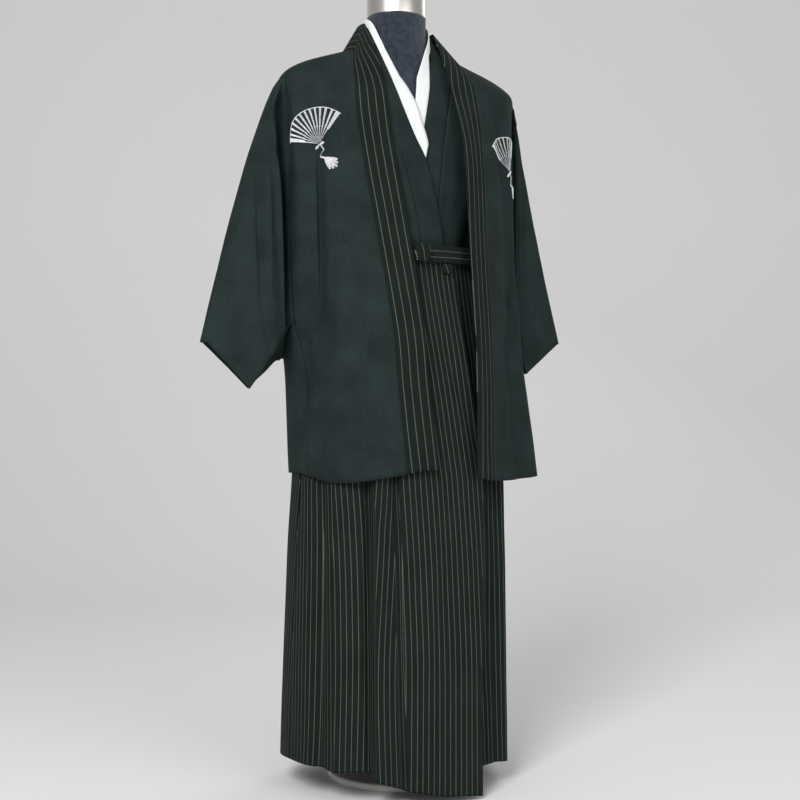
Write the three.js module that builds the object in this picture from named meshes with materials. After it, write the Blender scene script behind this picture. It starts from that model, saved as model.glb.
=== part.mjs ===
// A men's yukata style kimono with its haori jacket and pleated hakama, worn by a limbless dress
// form on a stand.  Millimetres, +Z up, the garment's front faces -Y, the wearer's right is -X.
// The origin is the middle of the stand's underside.
import * as THREE from 'three';

// Driving dimensions
const clothWall = 1.6;
const collarWall = 2.4;
const seamInset = 0.3;
const roundness = 2.2;
const formTop = 1459;
const capRadius = 56;
const capTop = 1512;
const poleRadius = 15;
const baseRadius = 132;
const baseHeight = 12;
const formFoot = 540;
const haoriHemLevel = 580;
const outwardFlat = 3;

// Half widths and depths of each level, measured from the stand's axis
const formLevels = [
  { z: 540, right: 128, left: 128, front: 74, back: 84 },
  { z: 556, right: 148, left: 148, front: 88, back: 98 },
  { z: 600, right: 158, left: 158, front: 96, back: 106 },
  { z: 680, right: 160, left: 160, front: 98, back: 108 },
  { z: 780, right: 150, left: 150, front: 94, back: 102 },
  { z: 870, right: 136, left: 136, front: 92, back: 92 },
  { z: 960, right: 140, left: 140, front: 98, back: 92 },
  { z: 1060, right: 155, left: 155, front: 104, back: 97 },
  { z: 1150, right: 182, left: 182, front: 102, back: 102 },
  { z: 1220, right: 198, left: 198, front: 88, back: 97 },
  { z: 1270, right: 204, left: 204, front: 74, back: 89 },
  { z: 1308, right: 200, left: 200, front: 63, back: 79 },
  { z: 1332, right: 178, left: 178, front: 53, back: 69 },
  { z: 1348, right: 132, left: 132, front: 49, back: 61 },
  { z: 1360, right: 98, left: 98, front: 48, back: 56 },
  { z: 1373, right: 74, left: 74, front: 49, back: 53 },
  { z: 1390, right: 61, left: 61, front: 51, back: 53 },
  { z: 1415, right: 57, left: 57, front: 53, back: 55 },
  { z: 1440, right: 56, left: 56, front: 55, back: 55 },
  { z: 1459, right: 56, left: 56, front: 56, back: 56 },
];
const kimonoLevels = [
  { z: 640, right: 174, left: 174, front: 112, back: 122 },
  { z: 780, right: 162, left: 162, front: 106, back: 114 },
  { z: 870, right: 148, left: 148, front: 104, back: 104 },
  { z: 960, right: 151, left: 151, front: 110, back: 104 },
  { z: 1060, right: 167, left: 167, front: 115, back: 108 },
  { z: 1150, right: 194, left: 194, front: 112, back: 113 },
  { z: 1220, right: 210, left: 210, front: 98, back: 108 },
  { z: 1270, right: 216, left: 216, front: 84, back: 100 },
  { z: 1310, right: 213, left: 213, front: 73, back: 90 },
  { z: 1340, right: 198, left: 198, front: 62, back: 80 },
  { z: 1358, right: 166, left: 166, front: 55, back: 71 },
  { z: 1370, right: 130, left: 130, front: 51, back: 66 },
  { z: 1380, right: 102, left: 102, front: 49, back: 63 },
];
const haoriLevels = [
  { z: 560, right: 213, left: 294, front: 198, back: 156 },
  { z: 640, right: 218, left: 283, front: 188, back: 150 },
  { z: 720, right: 223, left: 270, front: 179, back: 142 },
  { z: 787, right: 228, left: 260, front: 171, back: 136 },
  { z: 862, right: 241, left: 256, front: 162, back: 132 },
  { z: 950, right: 247, left: 254, front: 153, back: 129 },
  { z: 1050, right: 251, left: 256, front: 141, back: 126 },
  { z: 1150, right: 253, left: 258, front: 129, back: 124 },
  { z: 1240, right: 254, left: 260, front: 112, back: 118 },
  { z: 1300, right: 251, left: 262, front: 98, back: 104 },
  { z: 1327, right: 246, left: 260, front: 89, back: 95 },
  { z: 1346, right: 230, left: 232, front: 79, back: 88 },
  { z: 1361, right: 201, left: 194, front: 71, back: 82 },
  { z: 1372, right: 167, left: 160, front: 65, back: 79 },
  { z: 1381, right: 136, left: 134, front: 61, back: 77 },
  { z: 1388, right: 112, left: 113, front: 59, back: 76 },
];
const hakamaLevels = [
  { z: 10, right: 231, left: 200, front: 226, back: 154 },
  { z: 150, right: 227, left: 206, front: 211, back: 152 },
  { z: 300, right: 221, left: 209, front: 199, back: 150 },
  { z: 450, right: 214, left: 211, front: 189, back: 148 },
  { z: 590, right: 207, left: 212, front: 174, back: 134 },
  { z: 690, right: 202, left: 203, front: 165, back: 128 },
  { z: 790, right: 191, left: 190, front: 154, back: 122 },
  { z: 880, right: 176, left: 175, front: 142, back: 117 },
  { z: 950, right: 170, left: 170, front: 134, back: 116 },
  { z: 1004, right: 167, left: 167, front: 131, back: 115 },
];

// Folds of the haori: a soft trough or ridge along a line, depth outward, width across
const haoriFolds = [
  { z0: 870, z1: 1240, x0: -222, x1: -214, depth: -9, width: 17, fade: 70 },
  { z0: 560, z1: 880, x0: -196, x1: -208, depth: -6, width: 16, fade: 60 },
  { z0: 560, z1: 860, x0: -150, x1: -172, depth: 5, width: 26, fade: 90 },
  { z0: 900, z1: 1230, x0: -178, x1: -176, depth: 5, width: 24, fade: 80 },
  { z0: 560, z1: 1200, x0: 60, x1: 66, depth: 15, width: 42, fade: 120 },
  { z0: 760, z1: 1230, x0: 196, x1: 190, depth: -8, width: 18, fade: 80 },
  { z0: 560, z1: 820, x0: 190, x1: 176, depth: -9, width: 22, fade: 70 },
  { z0: 560, z1: 900, x0: 244, x1: 226, depth: 6, width: 20, fade: 80 },
];
const haoriBackFolds = [
  { z0: 560, z1: 1220, x0: -168, x1: -178, depth: -8, width: 20, fade: 110 },
  { z0: 560, z1: 1080, x0: -96, x1: -104, depth: 7, width: 26, fade: 120 },
  { z0: 560, z1: 1180, x0: 118, x1: 112, depth: -8, width: 24, fade: 110 },
  { z0: 560, z1: 1240, x0: 204, x1: 188, depth: 6, width: 24, fade: 110 },
];

// Where the haori's collar band is sewn on and where it ends, by level
const bandRight = [
  { z: 560, seam: -80, free: -20 },
  { z: 747, seam: -89, free: -29 },
  { z: 838, seam: -92, free: -32 },
  { z: 941, seam: -104, free: -42 },
  { z: 1060, seam: -119, free: -56 },
  { z: 1157, seam: -131, free: -69 },
  { z: 1262, seam: -137, free: -77 },
  { z: 1327, seam: -132, free: -73 },
  { z: 1361, seam: -124, free: -70 },
  { z: 1388, seam: -108, free: -68 },
];
const bandLeft = [
  { z: 560, seam: 97, free: 50 },
  { z: 747, seam: 114, free: 64 },
  { z: 844, seam: 120, free: 70 },
  { z: 1006, seam: 120, free: 67 },
  { z: 1172, seam: 126, free: 68 },
  { z: 1262, seam: 128, free: 70 },
  { z: 1327, seam: 126, free: 70 },
  { z: 1361, seam: 121, free: 71 },
  { z: 1388, seam: 109, free: 68 },
];
// The haori's hem height round the body, angle from the front, wearer's left positive
const haoriHem = [
  { angle: -180, z: 588 },
  { angle: -120, z: 583 },
  { angle: -85, z: 585 },
  { angle: -64, z: 572 },
  { angle: -48, z: 574 },
  { angle: -28, z: 584 },
  { angle: -4, z: 596 },
  { angle: 8, z: 580 },
  { angle: 24, z: 571 },
  { angle: 70, z: 576 },
  { angle: 120, z: 583 },
  { angle: 180, z: 588 },
];

// Lines of the hakama front from the side seam round to the other: place at the waist, the hip
// and the floor, how far the line stands out, and its hem height
const pleatLines = [
  { waist: -1, hip: -1, floor: -1, lift: 0, hem: 57, steps: 2 },
  { waist: -126, hip: -204, floor: -224, lift: 2, hem: 58, steps: 1 },
  { waist: -112, hip: -197, floor: -214, lift: -9, hem: 57, steps: 1 },
  { waist: -100, hip: -184, floor: -200, lift: 1, hem: 54, steps: 2 },
  { waist: -68, hip: -135, floor: -152, lift: -5, hem: 59, steps: 1 },
  { waist: -63, hip: -129, floor: -146, lift: 10, hem: 45, steps: 2 },
  { waist: -40, hip: -96, floor: -104, lift: -3, hem: 30, steps: 1 },
  { waist: -35, hip: -90, floor: -97, lift: 8, hem: 28, steps: 3 },
  { waist: 6, hip: 0, floor: -24, lift: 5, hem: 13, steps: 3 },
  { waist: 45, hip: 84, floor: 45, lift: 13, hem: 6, steps: 1 },
  { waist: 50, hip: 90, floor: 51, lift: -26, hem: 46, steps: 2 },
  { waist: 84, hip: 138, floor: 112, lift: -14, hem: 46, steps: 1 },
  { waist: 104, hip: 164, floor: 142, lift: 4, hem: 42, steps: 1 },
  { waist: 122, hip: 182, floor: 166, lift: -7, hem: 36, steps: 2 },
  { waist: 1, hip: 1, floor: 1, lift: 0, hem: 28, steps: 0 },
];
const backPleatLines = [
  { waist: 1, hip: 1, floor: 1, lift: 0, hem: 28, steps: 2 },
  { waist: 110, hip: 156, floor: 150, lift: 6, hem: 34, steps: 1 },
  { waist: 96, hip: 136, floor: 128, lift: -8, hem: 36, steps: 2 },
  { waist: 44, hip: 62, floor: 66, lift: 7, hem: 38, steps: 1 },
  { waist: 38, hip: 54, floor: 58, lift: -6, hem: 38, steps: 2 },
  { waist: -38, hip: -54, floor: -58, lift: -6, hem: 40, steps: 1 },
  { waist: -44, hip: -62, floor: -66, lift: 7, hem: 40, steps: 2 },
  { waist: -96, hip: -140, floor: -146, lift: -8, hem: 46, steps: 1 },
  { waist: -110, hip: -160, floor: -170, lift: 6, hem: 50, steps: 2 },
  { waist: -1, hip: -1, floor: -1, lift: 0, hem: 57, steps: 0 },
];

const toRadians = Math.PI / 180;
const mix = (a, b, t) => a + (b - a) * t;
const clamp01 = (t) => Math.min(1, Math.max(0, t));
const ease = (a, b, value) => {
  const t = clamp01((value - a) / (b - a));
  return t * t * (3 - 2 * t);
};
const bell = (distance, width) => Math.exp(-((distance / width) ** 2));

// A smooth curve through the rows of a table, read at one value of its key column
function readTable(table, key, value, column) {
  const last = table.length - 1;
  let i = 0;
  while (i < last - 1 && value > table[i + 1][key]) {
    i += 1;
  }
  const a = table[i];
  const b = table[i + 1];
  const span = b[key] - a[key];
  const t = clamp01((value - a[key]) / span);
  const before = table[Math.max(0, i - 1)];
  const after = table[Math.min(last, i + 2)];
  const slopeA = (b[column] - before[column]) / (b[key] - before[key]);
  const slopeB = (after[column] - a[column]) / (after[key] - a[key]);
  const t2 = t * t;
  const t3 = t2 * t;
  return (2 * t3 - 3 * t2 + 1) * a[column] + (t3 - 2 * t2 + t) * span * slopeA
    + (3 * t2 - 2 * t3) * b[column] + (t3 - t2) * span * slopeB;
}

// A point of a level ring, angle in degrees from the front, wearer's left positive
function ringPoint(levels, z, angle) {
  const s = Math.sin(angle * toRadians);
  const c = Math.cos(angle * toRadians);
  const width = readTable(levels, 'z', z, s < 0 ? 'right' : 'left');
  const depth = readTable(levels, 'z', z, c > 0 ? 'front' : 'back');
  const x = Math.sign(s) * width * Math.abs(s) ** (2 / roundness);
  const y = -Math.sign(c) * depth * Math.abs(c) ** (2 / roundness);
  return new THREE.Vector3(x, y, z);
}

// The angle at which a level ring passes a sideways place
function angleAt(levels, z, x, behind = false) {
  const width = readTable(levels, 'z', z, x < 0 ? 'right' : 'left');
  const share = Math.min(1, Math.abs(x) / width);
  const angle = Math.asin(share ** (roundness / 2)) / toRadians;
  return Math.sign(x) * (behind ? 180 - angle : angle);
}

// The outward direction of a surface given as a function of height and angle
function surfaceNormal(surface, z, angle) {
  const dz = 2;
  const da = 0.6;
  const up = surface(z + dz, angle).sub(surface(z - dz, angle));
  const round = surface(z, angle + da).sub(surface(z, angle - da));
  return round.cross(up).normalize();
}

// How far the listed folds push the cloth out at one place
function foldDepth(folds, x, z) {
  let total = 0;
  for (const fold of folds) {
    const t = clamp01((z - fold.z0) / (fold.z1 - fold.z0));
    const open = fold.z0 < haoriHemLevel ? 1 : ease(fold.z0 - fold.fade, fold.z0, z);
    const close = 1 - ease(fold.z1, fold.z1 + fold.fade, z);
    total += fold.depth * open * close * bell(x - mix(fold.x0, fold.x1, t), fold.width);
  }
  return total;
}

// A closed wall of cloth from a grid of outer points and the outward direction at each
function clothSolid(name, grid, thickness, material, keep = () => true, wraps = false) {
  const rows = grid.length;
  const columns = grid[0].length;
  const positions = [];
  for (const layer of [0, 1]) {
    for (const row of grid) {
      for (const { point, normal } of row) {
        const p = point.clone().addScaledVector(normal, -thickness * layer);
        positions.push(p.x, p.y, p.z);
      }
    }
  }
  const span = wraps ? columns : columns - 1;
  const at = (layer, r, c) => layer * rows * columns + r * columns + (c % columns);
  const kept = (r, c) => {
    const inside = r >= 0 && r < rows - 1 && (wraps || (c >= 0 && c < span));
    return inside && keep(r, (c + span) % span);
  };
  const index = [];
  const quad = (a, b, c, d) => index.push(a, b, c, a, c, d);
  for (let r = 0; r < rows - 1; r += 1) {
    for (let c = 0; c < span; c += 1) {
      if (kept(r, c)) {
        quad(at(0, r, c), at(0, r, c + 1), at(0, r + 1, c + 1), at(0, r + 1, c));
        quad(at(1, r, c), at(1, r + 1, c), at(1, r + 1, c + 1), at(1, r, c + 1));
        if (!kept(r - 1, c)) {
          quad(at(0, r, c), at(1, r, c), at(1, r, c + 1), at(0, r, c + 1));
        }
        if (!kept(r + 1, c)) {
          quad(at(0, r + 1, c + 1), at(1, r + 1, c + 1), at(1, r + 1, c), at(0, r + 1, c));
        }
        if (!kept(r, c - 1)) {
          quad(at(0, r + 1, c), at(1, r + 1, c), at(1, r, c), at(0, r, c));
        }
        if (!kept(r, c + 1)) {
          quad(at(0, r, c + 1), at(1, r, c + 1), at(1, r + 1, c + 1), at(0, r + 1, c + 1));
        }
      }
    }
  }
  return solidFrom(name, positions, index, material);
}

// A named mesh from positions and triangles, with unused points left out
function solidFrom(name, positions, index, material) {
  const used = new Map();
  const packed = [];
  const faces = index.map((i) => {
    if (!used.has(i)) {
      used.set(i, used.size);
      packed.push(positions[3 * i], positions[3 * i + 1], positions[3 * i + 2]);
    }
    return used.get(i);
  });
  const geometry = new THREE.BufferGeometry();
  geometry.setAttribute('position', new THREE.Float32BufferAttribute(packed, 3));
  geometry.setIndex(faces);
  geometry.computeVertexNormals();
  const mesh = new THREE.Mesh(geometry, material);
  mesh.name = name;
  return mesh;
}

const material = (color, roughness, metalness = 0) =>
  new THREE.MeshStandardMaterial({ color, roughness, metalness });
const plainCotton = () => material('#2b3838', 0.9);
const stripedCotton = () => material('#1c2320', 0.9);
const whiteCotton = () => material('#f2f2ee', 0.85);
const jersey = () => material('#2b3140', 0.95);
const steel = () => material('#b9b4aa', 0.3, 1);
const paintedMetal = () => material('#e9e9e6', 0.45, 0.1);

// Dress form, cap and stand

function buildForm() {
  const around = 28;
  const grid = formLevels.map(({ z }) => {
    const row = [];
    for (let c = 0; c < around; c += 1) {
      const angle = -180 + (360 * c) / around;
      row.push({ point: ringPoint(formLevels, z, angle), normal: new THREE.Vector3() });
    }
    return row;
  });
  const positions = [];
  for (const row of grid) {
    for (const { point } of row) {
      positions.push(point.x, point.y, point.z);
    }
  }
  const index = [];
  const rows = grid.length;
  for (let r = 0; r < rows - 1; r += 1) {
    for (let c = 0; c < around; c += 1) {
      const next = (c + 1) % around;
      const a = r * around + c;
      const b = r * around + next;
      index.push(a, b, b + around, a, b + around, a + around);
    }
  }
  const low = rows * around;
  positions.push(0, 0, formFoot);
  positions.push(0, 0, formTop);
  for (let c = 0; c < around; c += 1) {
    const next = (c + 1) % around;
    index.push(low, next, c);
    index.push(low + 1, (rows - 1) * around + c, (rows - 1) * around + next);
  }
  return solidFrom('dress_form', positions, index, jersey());
}

function turned(name, profile, segments, meshMaterial) {
  const geometry = new THREE.LatheGeometry(profile.map(([r, z]) => new THREE.Vector2(r, z)), segments);
  geometry.rotateX(Math.PI / 2);
  const source = geometry.getAttribute('position');
  const rings = profile.length;
  const positions = [];
  const index = [];
  for (let s = 0; s < segments; s += 1) {
    for (let p = 0; p < rings; p += 1) {
      const i = s * rings + p;
      positions.push(source.getX(i), source.getY(i), source.getZ(i));
    }
  }
  const foot = segments * rings;
  positions.push(0, 0, profile[0][1], 0, 0, profile[rings - 1][1]);
  for (let s = 0; s < segments; s += 1) {
    const a = s * rings;
    const b = ((s + 1) % segments) * rings;
    for (let p = 0; p < rings - 1; p += 1) {
      index.push(a + p, a + p + 1, b + p + 1, a + p, b + p + 1, b + p);
    }
    index.push(foot, a, b);
    index.push(foot + 1, b + rings - 1, a + rings - 1);
  }
  const mesh = solidFrom(name, positions, index, meshMaterial);
  if (signedVolume(mesh) < 0) {
    flip(mesh);
  }
  return mesh;
}

function signedVolume(mesh) {
  const p = mesh.geometry.getAttribute('position');
  const faces = mesh.geometry.getIndex().array;
  const a = new THREE.Vector3();
  const b = new THREE.Vector3();
  const c = new THREE.Vector3();
  let total = 0;
  for (let i = 0; i < faces.length; i += 3) {
    a.fromBufferAttribute(p, faces[i]);
    b.fromBufferAttribute(p, faces[i + 1]);
    c.fromBufferAttribute(p, faces[i + 2]);
    total += a.dot(b.cross(c)) / 6;
  }
  return total;
}

function flip(mesh) {
  const faces = mesh.geometry.getIndex().array;
  for (let i = 0; i < faces.length; i += 3) {
    const keepCorner = faces[i + 1];
    faces[i + 1] = faces[i + 2];
    faces[i + 2] = keepCorner;
  }
}

// Haori

const leanStart = 1100;
const leanFull = 1350;
const leanShare = 0.04;
const sagTop = 740;

// The haori's outer surface; the far shoulder sits a little higher than the near one
function haoriSurface(level, angle) {
  const p = ringPoint(haoriLevels, level, angle);
  const folds = Math.cos(angle * toRadians) > 0 ? haoriFolds : haoriBackFolds;
  const strength = ease(0, 0.3, Math.abs(Math.cos(angle * toRadians)));
  const push = foldDepth(folds, p.x, level) * strength;
  const out = new THREE.Vector3(p.x / outwardFlat, p.y, 0).normalize();
  p.addScaledVector(out, push);
  p.z += (p.x < 0 ? leanShare : leanShare / 4) * p.x * ease(leanStart, leanFull, level);
  const sag = readTable(haoriHem, 'angle', angle, 'z') - haoriHemLevel;
  p.z += sag * (1 - ease(haoriHemLevel, sagTop, level));
  return p;
}

const haoriFrontRows = [haoriHemLevel, 625, 675, 730, 787, 825, 862, 910, 960, 1020, 1080, 1140, 1195, 1245,
  1290, 1327, 1346, 1361, 1372, 1381, 1388];
const armholeLow = 862;
const armholeTop = 1327;
const frontArmShare = 0.985;
const backArmShare = 0.968;
const sideAngle = (share) => Math.asin(share ** (roundness / 2)) / toRadians;
const frontArmAngle = sideAngle(frontArmShare);
const backArmAngle = 180 - sideAngle(backArmShare);
const backDrop = 62;

// The level of a row at one angle: the rows dip toward the back of the armhole
function haoriLevel(level, angle) {
  const toBack = ease(frontArmAngle, backArmAngle, Math.abs(angle));
  const dip = backDrop * toBack * bell(level - armholeLow, 130);
  const low = level < armholeLow ? ease(haoriHemLevel, armholeLow, level) : 1;
  const high = 1 - ease(armholeLow, 1100, level);
  return level - dip * low * high;
}

function haoriCell(level, angle) {
  const z = haoriLevel(level, angle);
  return { point: haoriSurface(z, angle), normal: surfaceNormal(haoriSurface, z, angle) };
}

function bandTable(side) {
  return side < 0 ? bandRight : bandLeft;
}

function seamAngle(side, level) {
  return angleAt(haoriLevels, level, readTable(bandTable(side), 'z', level, 'seam'));
}

const haoriBackShares = [0, 0.22, 0.44, 0.66, 0.84, 1];

// The angles of one row of a body panel, from the collar seam to the middle of the back
function bodyAngles(side, level) {
  const seam = Math.abs(seamAngle(side, level));
  const angles = [];
  const frontColumns = 8;
  for (let c = 0; c <= frontColumns; c += 1) {
    angles.push(mix(seam, frontArmAngle, c / frontColumns));
  }
  const gapColumns = 3;
  for (let c = 1; c < gapColumns; c += 1) {
    angles.push(mix(frontArmAngle, backArmAngle, c / gapColumns));
  }
  for (const share of haoriBackShares) {
    angles.push(mix(backArmAngle, 180, share));
  }
  return angles.map((angle) => angle * side);
}

const bodyGapFirst = 8;
const bodyGapLast = 10;

// Moves an edge of a grid inward so that the next piece has room for its seam
function insetColumn(grid, column, toward, from = 0, to = grid.length - 1) {
  for (let r = from; r <= to; r += 1) {
    const cell = grid[r][column];
    const inward = grid[r][toward].point.clone().sub(cell.point).normalize();
    cell.point.addScaledVector(inward, seamInset);
  }
}

function insetRow(grid, row, toward, from = 0, to = grid[0].length - 1) {
  for (let c = from; c <= to; c += 1) {
    const cell = grid[row][c];
    const inward = grid[toward][c].point.clone().sub(cell.point).normalize();
    cell.point.addScaledVector(inward, seamInset);
  }
}

function orient(grid, side) {
  return side < 0 ? grid.map((row) => row.slice().reverse()) : grid;
}

const armLowRow = haoriFrontRows.indexOf(armholeLow);
const armTopRow = haoriFrontRows.indexOf(armholeTop);

function buildHaoriBody(name, side) {
  const grid = haoriFrontRows.map((level) =>
    bodyAngles(side, level).map((angle) => haoriCell(level, angle)));
  const last = grid[0].length - 1;
  const top = grid.length - 1;
  insetColumn(grid, 0, 1);
  insetColumn(grid, last, last - 1);
  insetColumn(grid, bodyGapFirst, bodyGapFirst - 1, 0, armTopRow - 1);
  insetColumn(grid, bodyGapLast + 1, bodyGapLast + 2, 0, armTopRow - 1);
  insetRow(grid, armTopRow, armTopRow + 1, bodyGapFirst, bodyGapLast + 1);
  insetRow(grid, top, top - 1);
  const columns = grid[0].length - 1;
  const keep = (r, c) => {
    const column = side < 0 ? columns - 1 - c : c;
    const inGap = column >= bodyGapFirst && column <= bodyGapLast;
    return !(inGap && r < armTopRow);
  };
  return clothSolid(name, orient(grid, side), clothWall, plainCotton(), keep);
}

function buildGusset(name, side) {
  const grid = [];
  for (let r = 0; r <= armLowRow; r += 1) {
    const level = haoriFrontRows[r];
    const row = bodyAngles(side, level).slice(bodyGapFirst, bodyGapLast + 2);
    grid.push(row.map((angle) => haoriCell(level, angle)));
  }
  const top = grid.length - 1;
  insetRow(grid, top, top - 1);
  return clothSolid(name, orient(grid, side), clothWall, plainCotton());
}

// The open edge of the armhole, from its low front corner up, over and back round below
function armholeLoop(side) {
  const loop = [];
  const pick = (row, column) => {
    const level = haoriFrontRows[row];
    const cell = haoriCell(level, bodyAngles(side, level)[column]);
    loop.push({ ...cell, row, column });
  };
  for (let r = armLowRow; r < armTopRow; r += 1) {
    pick(r, bodyGapFirst);
  }
  for (let c = bodyGapFirst; c <= bodyGapLast + 1; c += 1) {
    pick(armTopRow, c);
  }
  for (let r = armTopRow - 1; r >= armLowRow; r -= 1) {
    pick(r, bodyGapLast + 1);
  }
  for (let c = bodyGapLast; c > bodyGapFirst; c -= 1) {
    pick(armLowRow, c);
  }
  return loop;
}

// Cuff corners of each sleeve: low front corner, the fold along the arm, low back corner
const cuffs = {
  right: { front: [-322, -30, 742], fold: [-394, 8, 826], back: [-302, 26, 744], bow: 15, swell: 26 },
  left: { front: [284, -34, 774], fold: [383, 4, 838], back: [294, 30, 778], bow: -4, swell: 6 },
};
const sleeveRows = [0, 0.035, 0.09, 0.18, 0.3, 0.44, 0.58, 0.72, 0.86, 1];
const backBow = 30;
const seamCrease = 15;
const foldTurn = 11;
const seamKick = 7;

function cuffLoop(corners, loop) {
  const [front, fold, back] = [corners.front, corners.fold, corners.back]
    .map((p) => new THREE.Vector3(...p));
  const rise = armTopRow - armLowRow;
  const across = bodyGapLast + 1 - bodyGapFirst;
  return loop.map((cell, i) => {
    if (i <= rise) {
      return front.clone().lerp(fold, i / rise).add(new THREE.Vector3(0, -foldTurn * (i / rise), 0));
    }
    if (i < rise + across) {
      const t = (i - rise) / across;
      const turn = new THREE.Vector3(0, mix(-foldTurn, foldTurn, t), 0);
      const out = Math.sign(fold.x) * foldTurn * 0.8 * Math.sin(Math.PI * t);
      return fold.clone().add(turn).add(new THREE.Vector3(out, 0, 0));
    }
    if (i <= 2 * rise + across) {
      const t = (i - rise - across) / rise;
      return fold.clone().add(new THREE.Vector3(0, foldTurn * (1 - t), 0)).lerp(back, t);
    }
    const t = (i - 2 * rise - across) / (loop.length - 2 * rise - across);
    return back.clone().lerp(front, t);
  });
}

function buildSleeve(name, side, corners) {
  const loop = armholeLoop(side);
  const cuff = cuffLoop(corners, loop);
  const rise = armTopRow - armLowRow;
  const across = bodyGapLast + 1 - bodyGapFirst;
  const place = (t, i) => {
    const p = loop[i].point.clone().lerp(cuff[i], t);
    const swell = Math.sin(Math.PI * Math.min(1, t ** 0.7));
    const top = i <= rise ? i / rise : clamp01(1 - (i - rise - across) / rise);
    const onFront = i <= rise + across / 2;
    p.x += side * corners.bow * swell * (0.25 + 0.75 * clamp01(top));
    p.x += side * seamKick * ease(0, 0.035, t) * (1 - ease(0.035, 0.5, t)) * (1 - 0.7 * clamp01(top));
    const middle = Math.sin(Math.PI * clamp01(top * 0.86 + 0.12));
    const crease = seamCrease * bell(t - 0.06, 0.05) * (1 - ease(0.86, 1, top));
    if (i < loop.length - (across - 1)) {
      const bow = onFront ? -corners.swell : backBow;
      p.y += bow * swell * middle + (onFront ? crease : -crease) * (t > 0 ? 1 : 0);
    }
    return p;
  };
  const grid = sleeveRows.map((t, r) => loop.map((cell, i) => {
    const point = place(t, i);
    const next = (i + 1) % loop.length;
    const before = (i + loop.length - 1) % loop.length;
    const near = sleeveRows[Math.max(0, r - 1)];
    const far = sleeveRows[Math.min(sleeveRows.length - 1, r + 1)];
    const along = place(far, i).sub(place(near, i));
    const round = place(t, next).sub(place(t, before));
    const normal = round.cross(along).normalize().multiplyScalar(-side);
    return { point, normal: r === 0 ? cell.normal.clone() : normal };
  }));
  const solid = clothSolid(name, side < 0 ? grid : orient(grid, -1), clothWall, plainCotton(),
    () => true, true);
  if (signedVolume(solid) < 0) {
    flip(solid);
  }
  return solid;
}

// The free edge of the collar band where it stands round the neck
const neckBand = { width: 78, depth: 76, rise: 1439, backRise: 1436 };

function neckEdge(angle) {
  const s = Math.sin(angle * toRadians);
  const c = Math.cos(angle * toRadians);
  const height = mix(neckBand.rise, neckBand.backRise, Math.max(0, -c));
  return new THREE.Vector3(neckBand.width * s, -neckBand.depth * c, height);
}

const bandSteps = 3;
const neckStart = 1262;
const neckTop = 1388;
const reachPerRise = 0.1;
const neckReach = { right: 82, left: 84 };
const neckStep = 1.2;

// Pairs of angles round the neck, one on a collar's seam and one on its free edge, which starts
// at the reach of each side and keeps at least one step between its points
function neckTurn(rightAngles, leftAngles, reach) {
  const pair = (side, start) => (angle, k) => ({
    seam: angle,
    edge: side * Math.max(Math.abs(angle), start + neckStep * (k + 1)),
  });
  const left = leftAngles.map(pair(1, reach.left)).slice(0, -1);
  return rightAngles.map(pair(-1, reach.right)).concat(left.reverse());
}

// One station of the collar band on the front: points from the seam to the free edge
function bandStation(side, level) {
  const table = bandTable(side);
  const seam = readTable(table, 'z', level, 'seam');
  const free = readTable(table, 'z', level, 'free');
  const lift = ease(neckStart, neckTop, level);
  const back = side < 0 ? neckReach.right : neckReach.left;
  const end = neckEdge(side * (back - reachPerRise * (neckTop - level)));
  const cells = [];
  for (let w = 0; w <= bandSteps; w += 1) {
    const share = w / bandSteps;
    const x = mix(seam, free, share);
    const angle = angleAt(haoriLevels, Math.min(level, 1370), x);
    const flat = haoriSurface(Math.min(level, 1370), angle);
    const start = haoriSurface(level, seamAngle(side, level));
    const risen = start.clone().lerp(end, share);
    const lower = level <= 1370 ? flat : risen;
    cells.push({ point: w === 0 ? start : lower.clone().lerp(risen, lift ** 1.5) });
  }
  return cells;
}

function buildHaoriCollar() {
  const stations = [];
  const fill = (cells, seamNormal) => stations.push({ cells, seamNormal });
  for (const level of haoriFrontRows) {
    fill(bandStation(-1, level), surfaceNormal(haoriSurface, level, seamAngle(-1, level)));
  }
  const top = haoriFrontRows[haoriFrontRows.length - 1];
  const turn = neckTurn(bodyAngles(-1, top).slice(1), bodyAngles(1, top).slice(1), neckReach);
  for (const { seam, edge } of turn) {
    const cell = haoriCell(top, seam);
    const end = neckEdge(edge);
    const cells = [];
    for (let w = 0; w <= bandSteps; w += 1) {
      cells.push({ point: cell.point.clone().lerp(end, w / bandSteps) });
    }
    fill(cells, cell.normal);
  }
  for (const level of haoriFrontRows.slice().reverse()) {
    fill(bandStation(1, level), surfaceNormal(haoriSurface, level, seamAngle(1, level)));
  }
  return stripSolid('haori_collar', stations, collarWall, stripedCotton());
}

// A long strip from its stations; the first column keeps the outward direction of its seam
function stripSolid(name, stations, thickness, stripMaterial) {
  const grid = stations.map(({ cells, seamNormal }, k) => cells.map(({ point }, w) => {
    const before = stations[Math.max(0, k - 1)].cells[w].point;
    const after = stations[Math.min(stations.length - 1, k + 1)].cells[w].point;
    const inner = cells[Math.min(cells.length - 1, w + 1)].point;
    const outer = cells[Math.max(0, w - 1)].point;
    const along = after.clone().sub(before);
    const across = inner.clone().sub(outer);
    const normal = along.cross(across).normalize();
    return { point, normal: w === 0 && seamNormal ? seamNormal.clone() : normal };
  }));
  const solid = clothSolid(name, grid, thickness, stripMaterial);
  if (signedVolume(solid) < 0) {
    flip(solid);
  }
  return solid;
}

// Kimono and its collars

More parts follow.
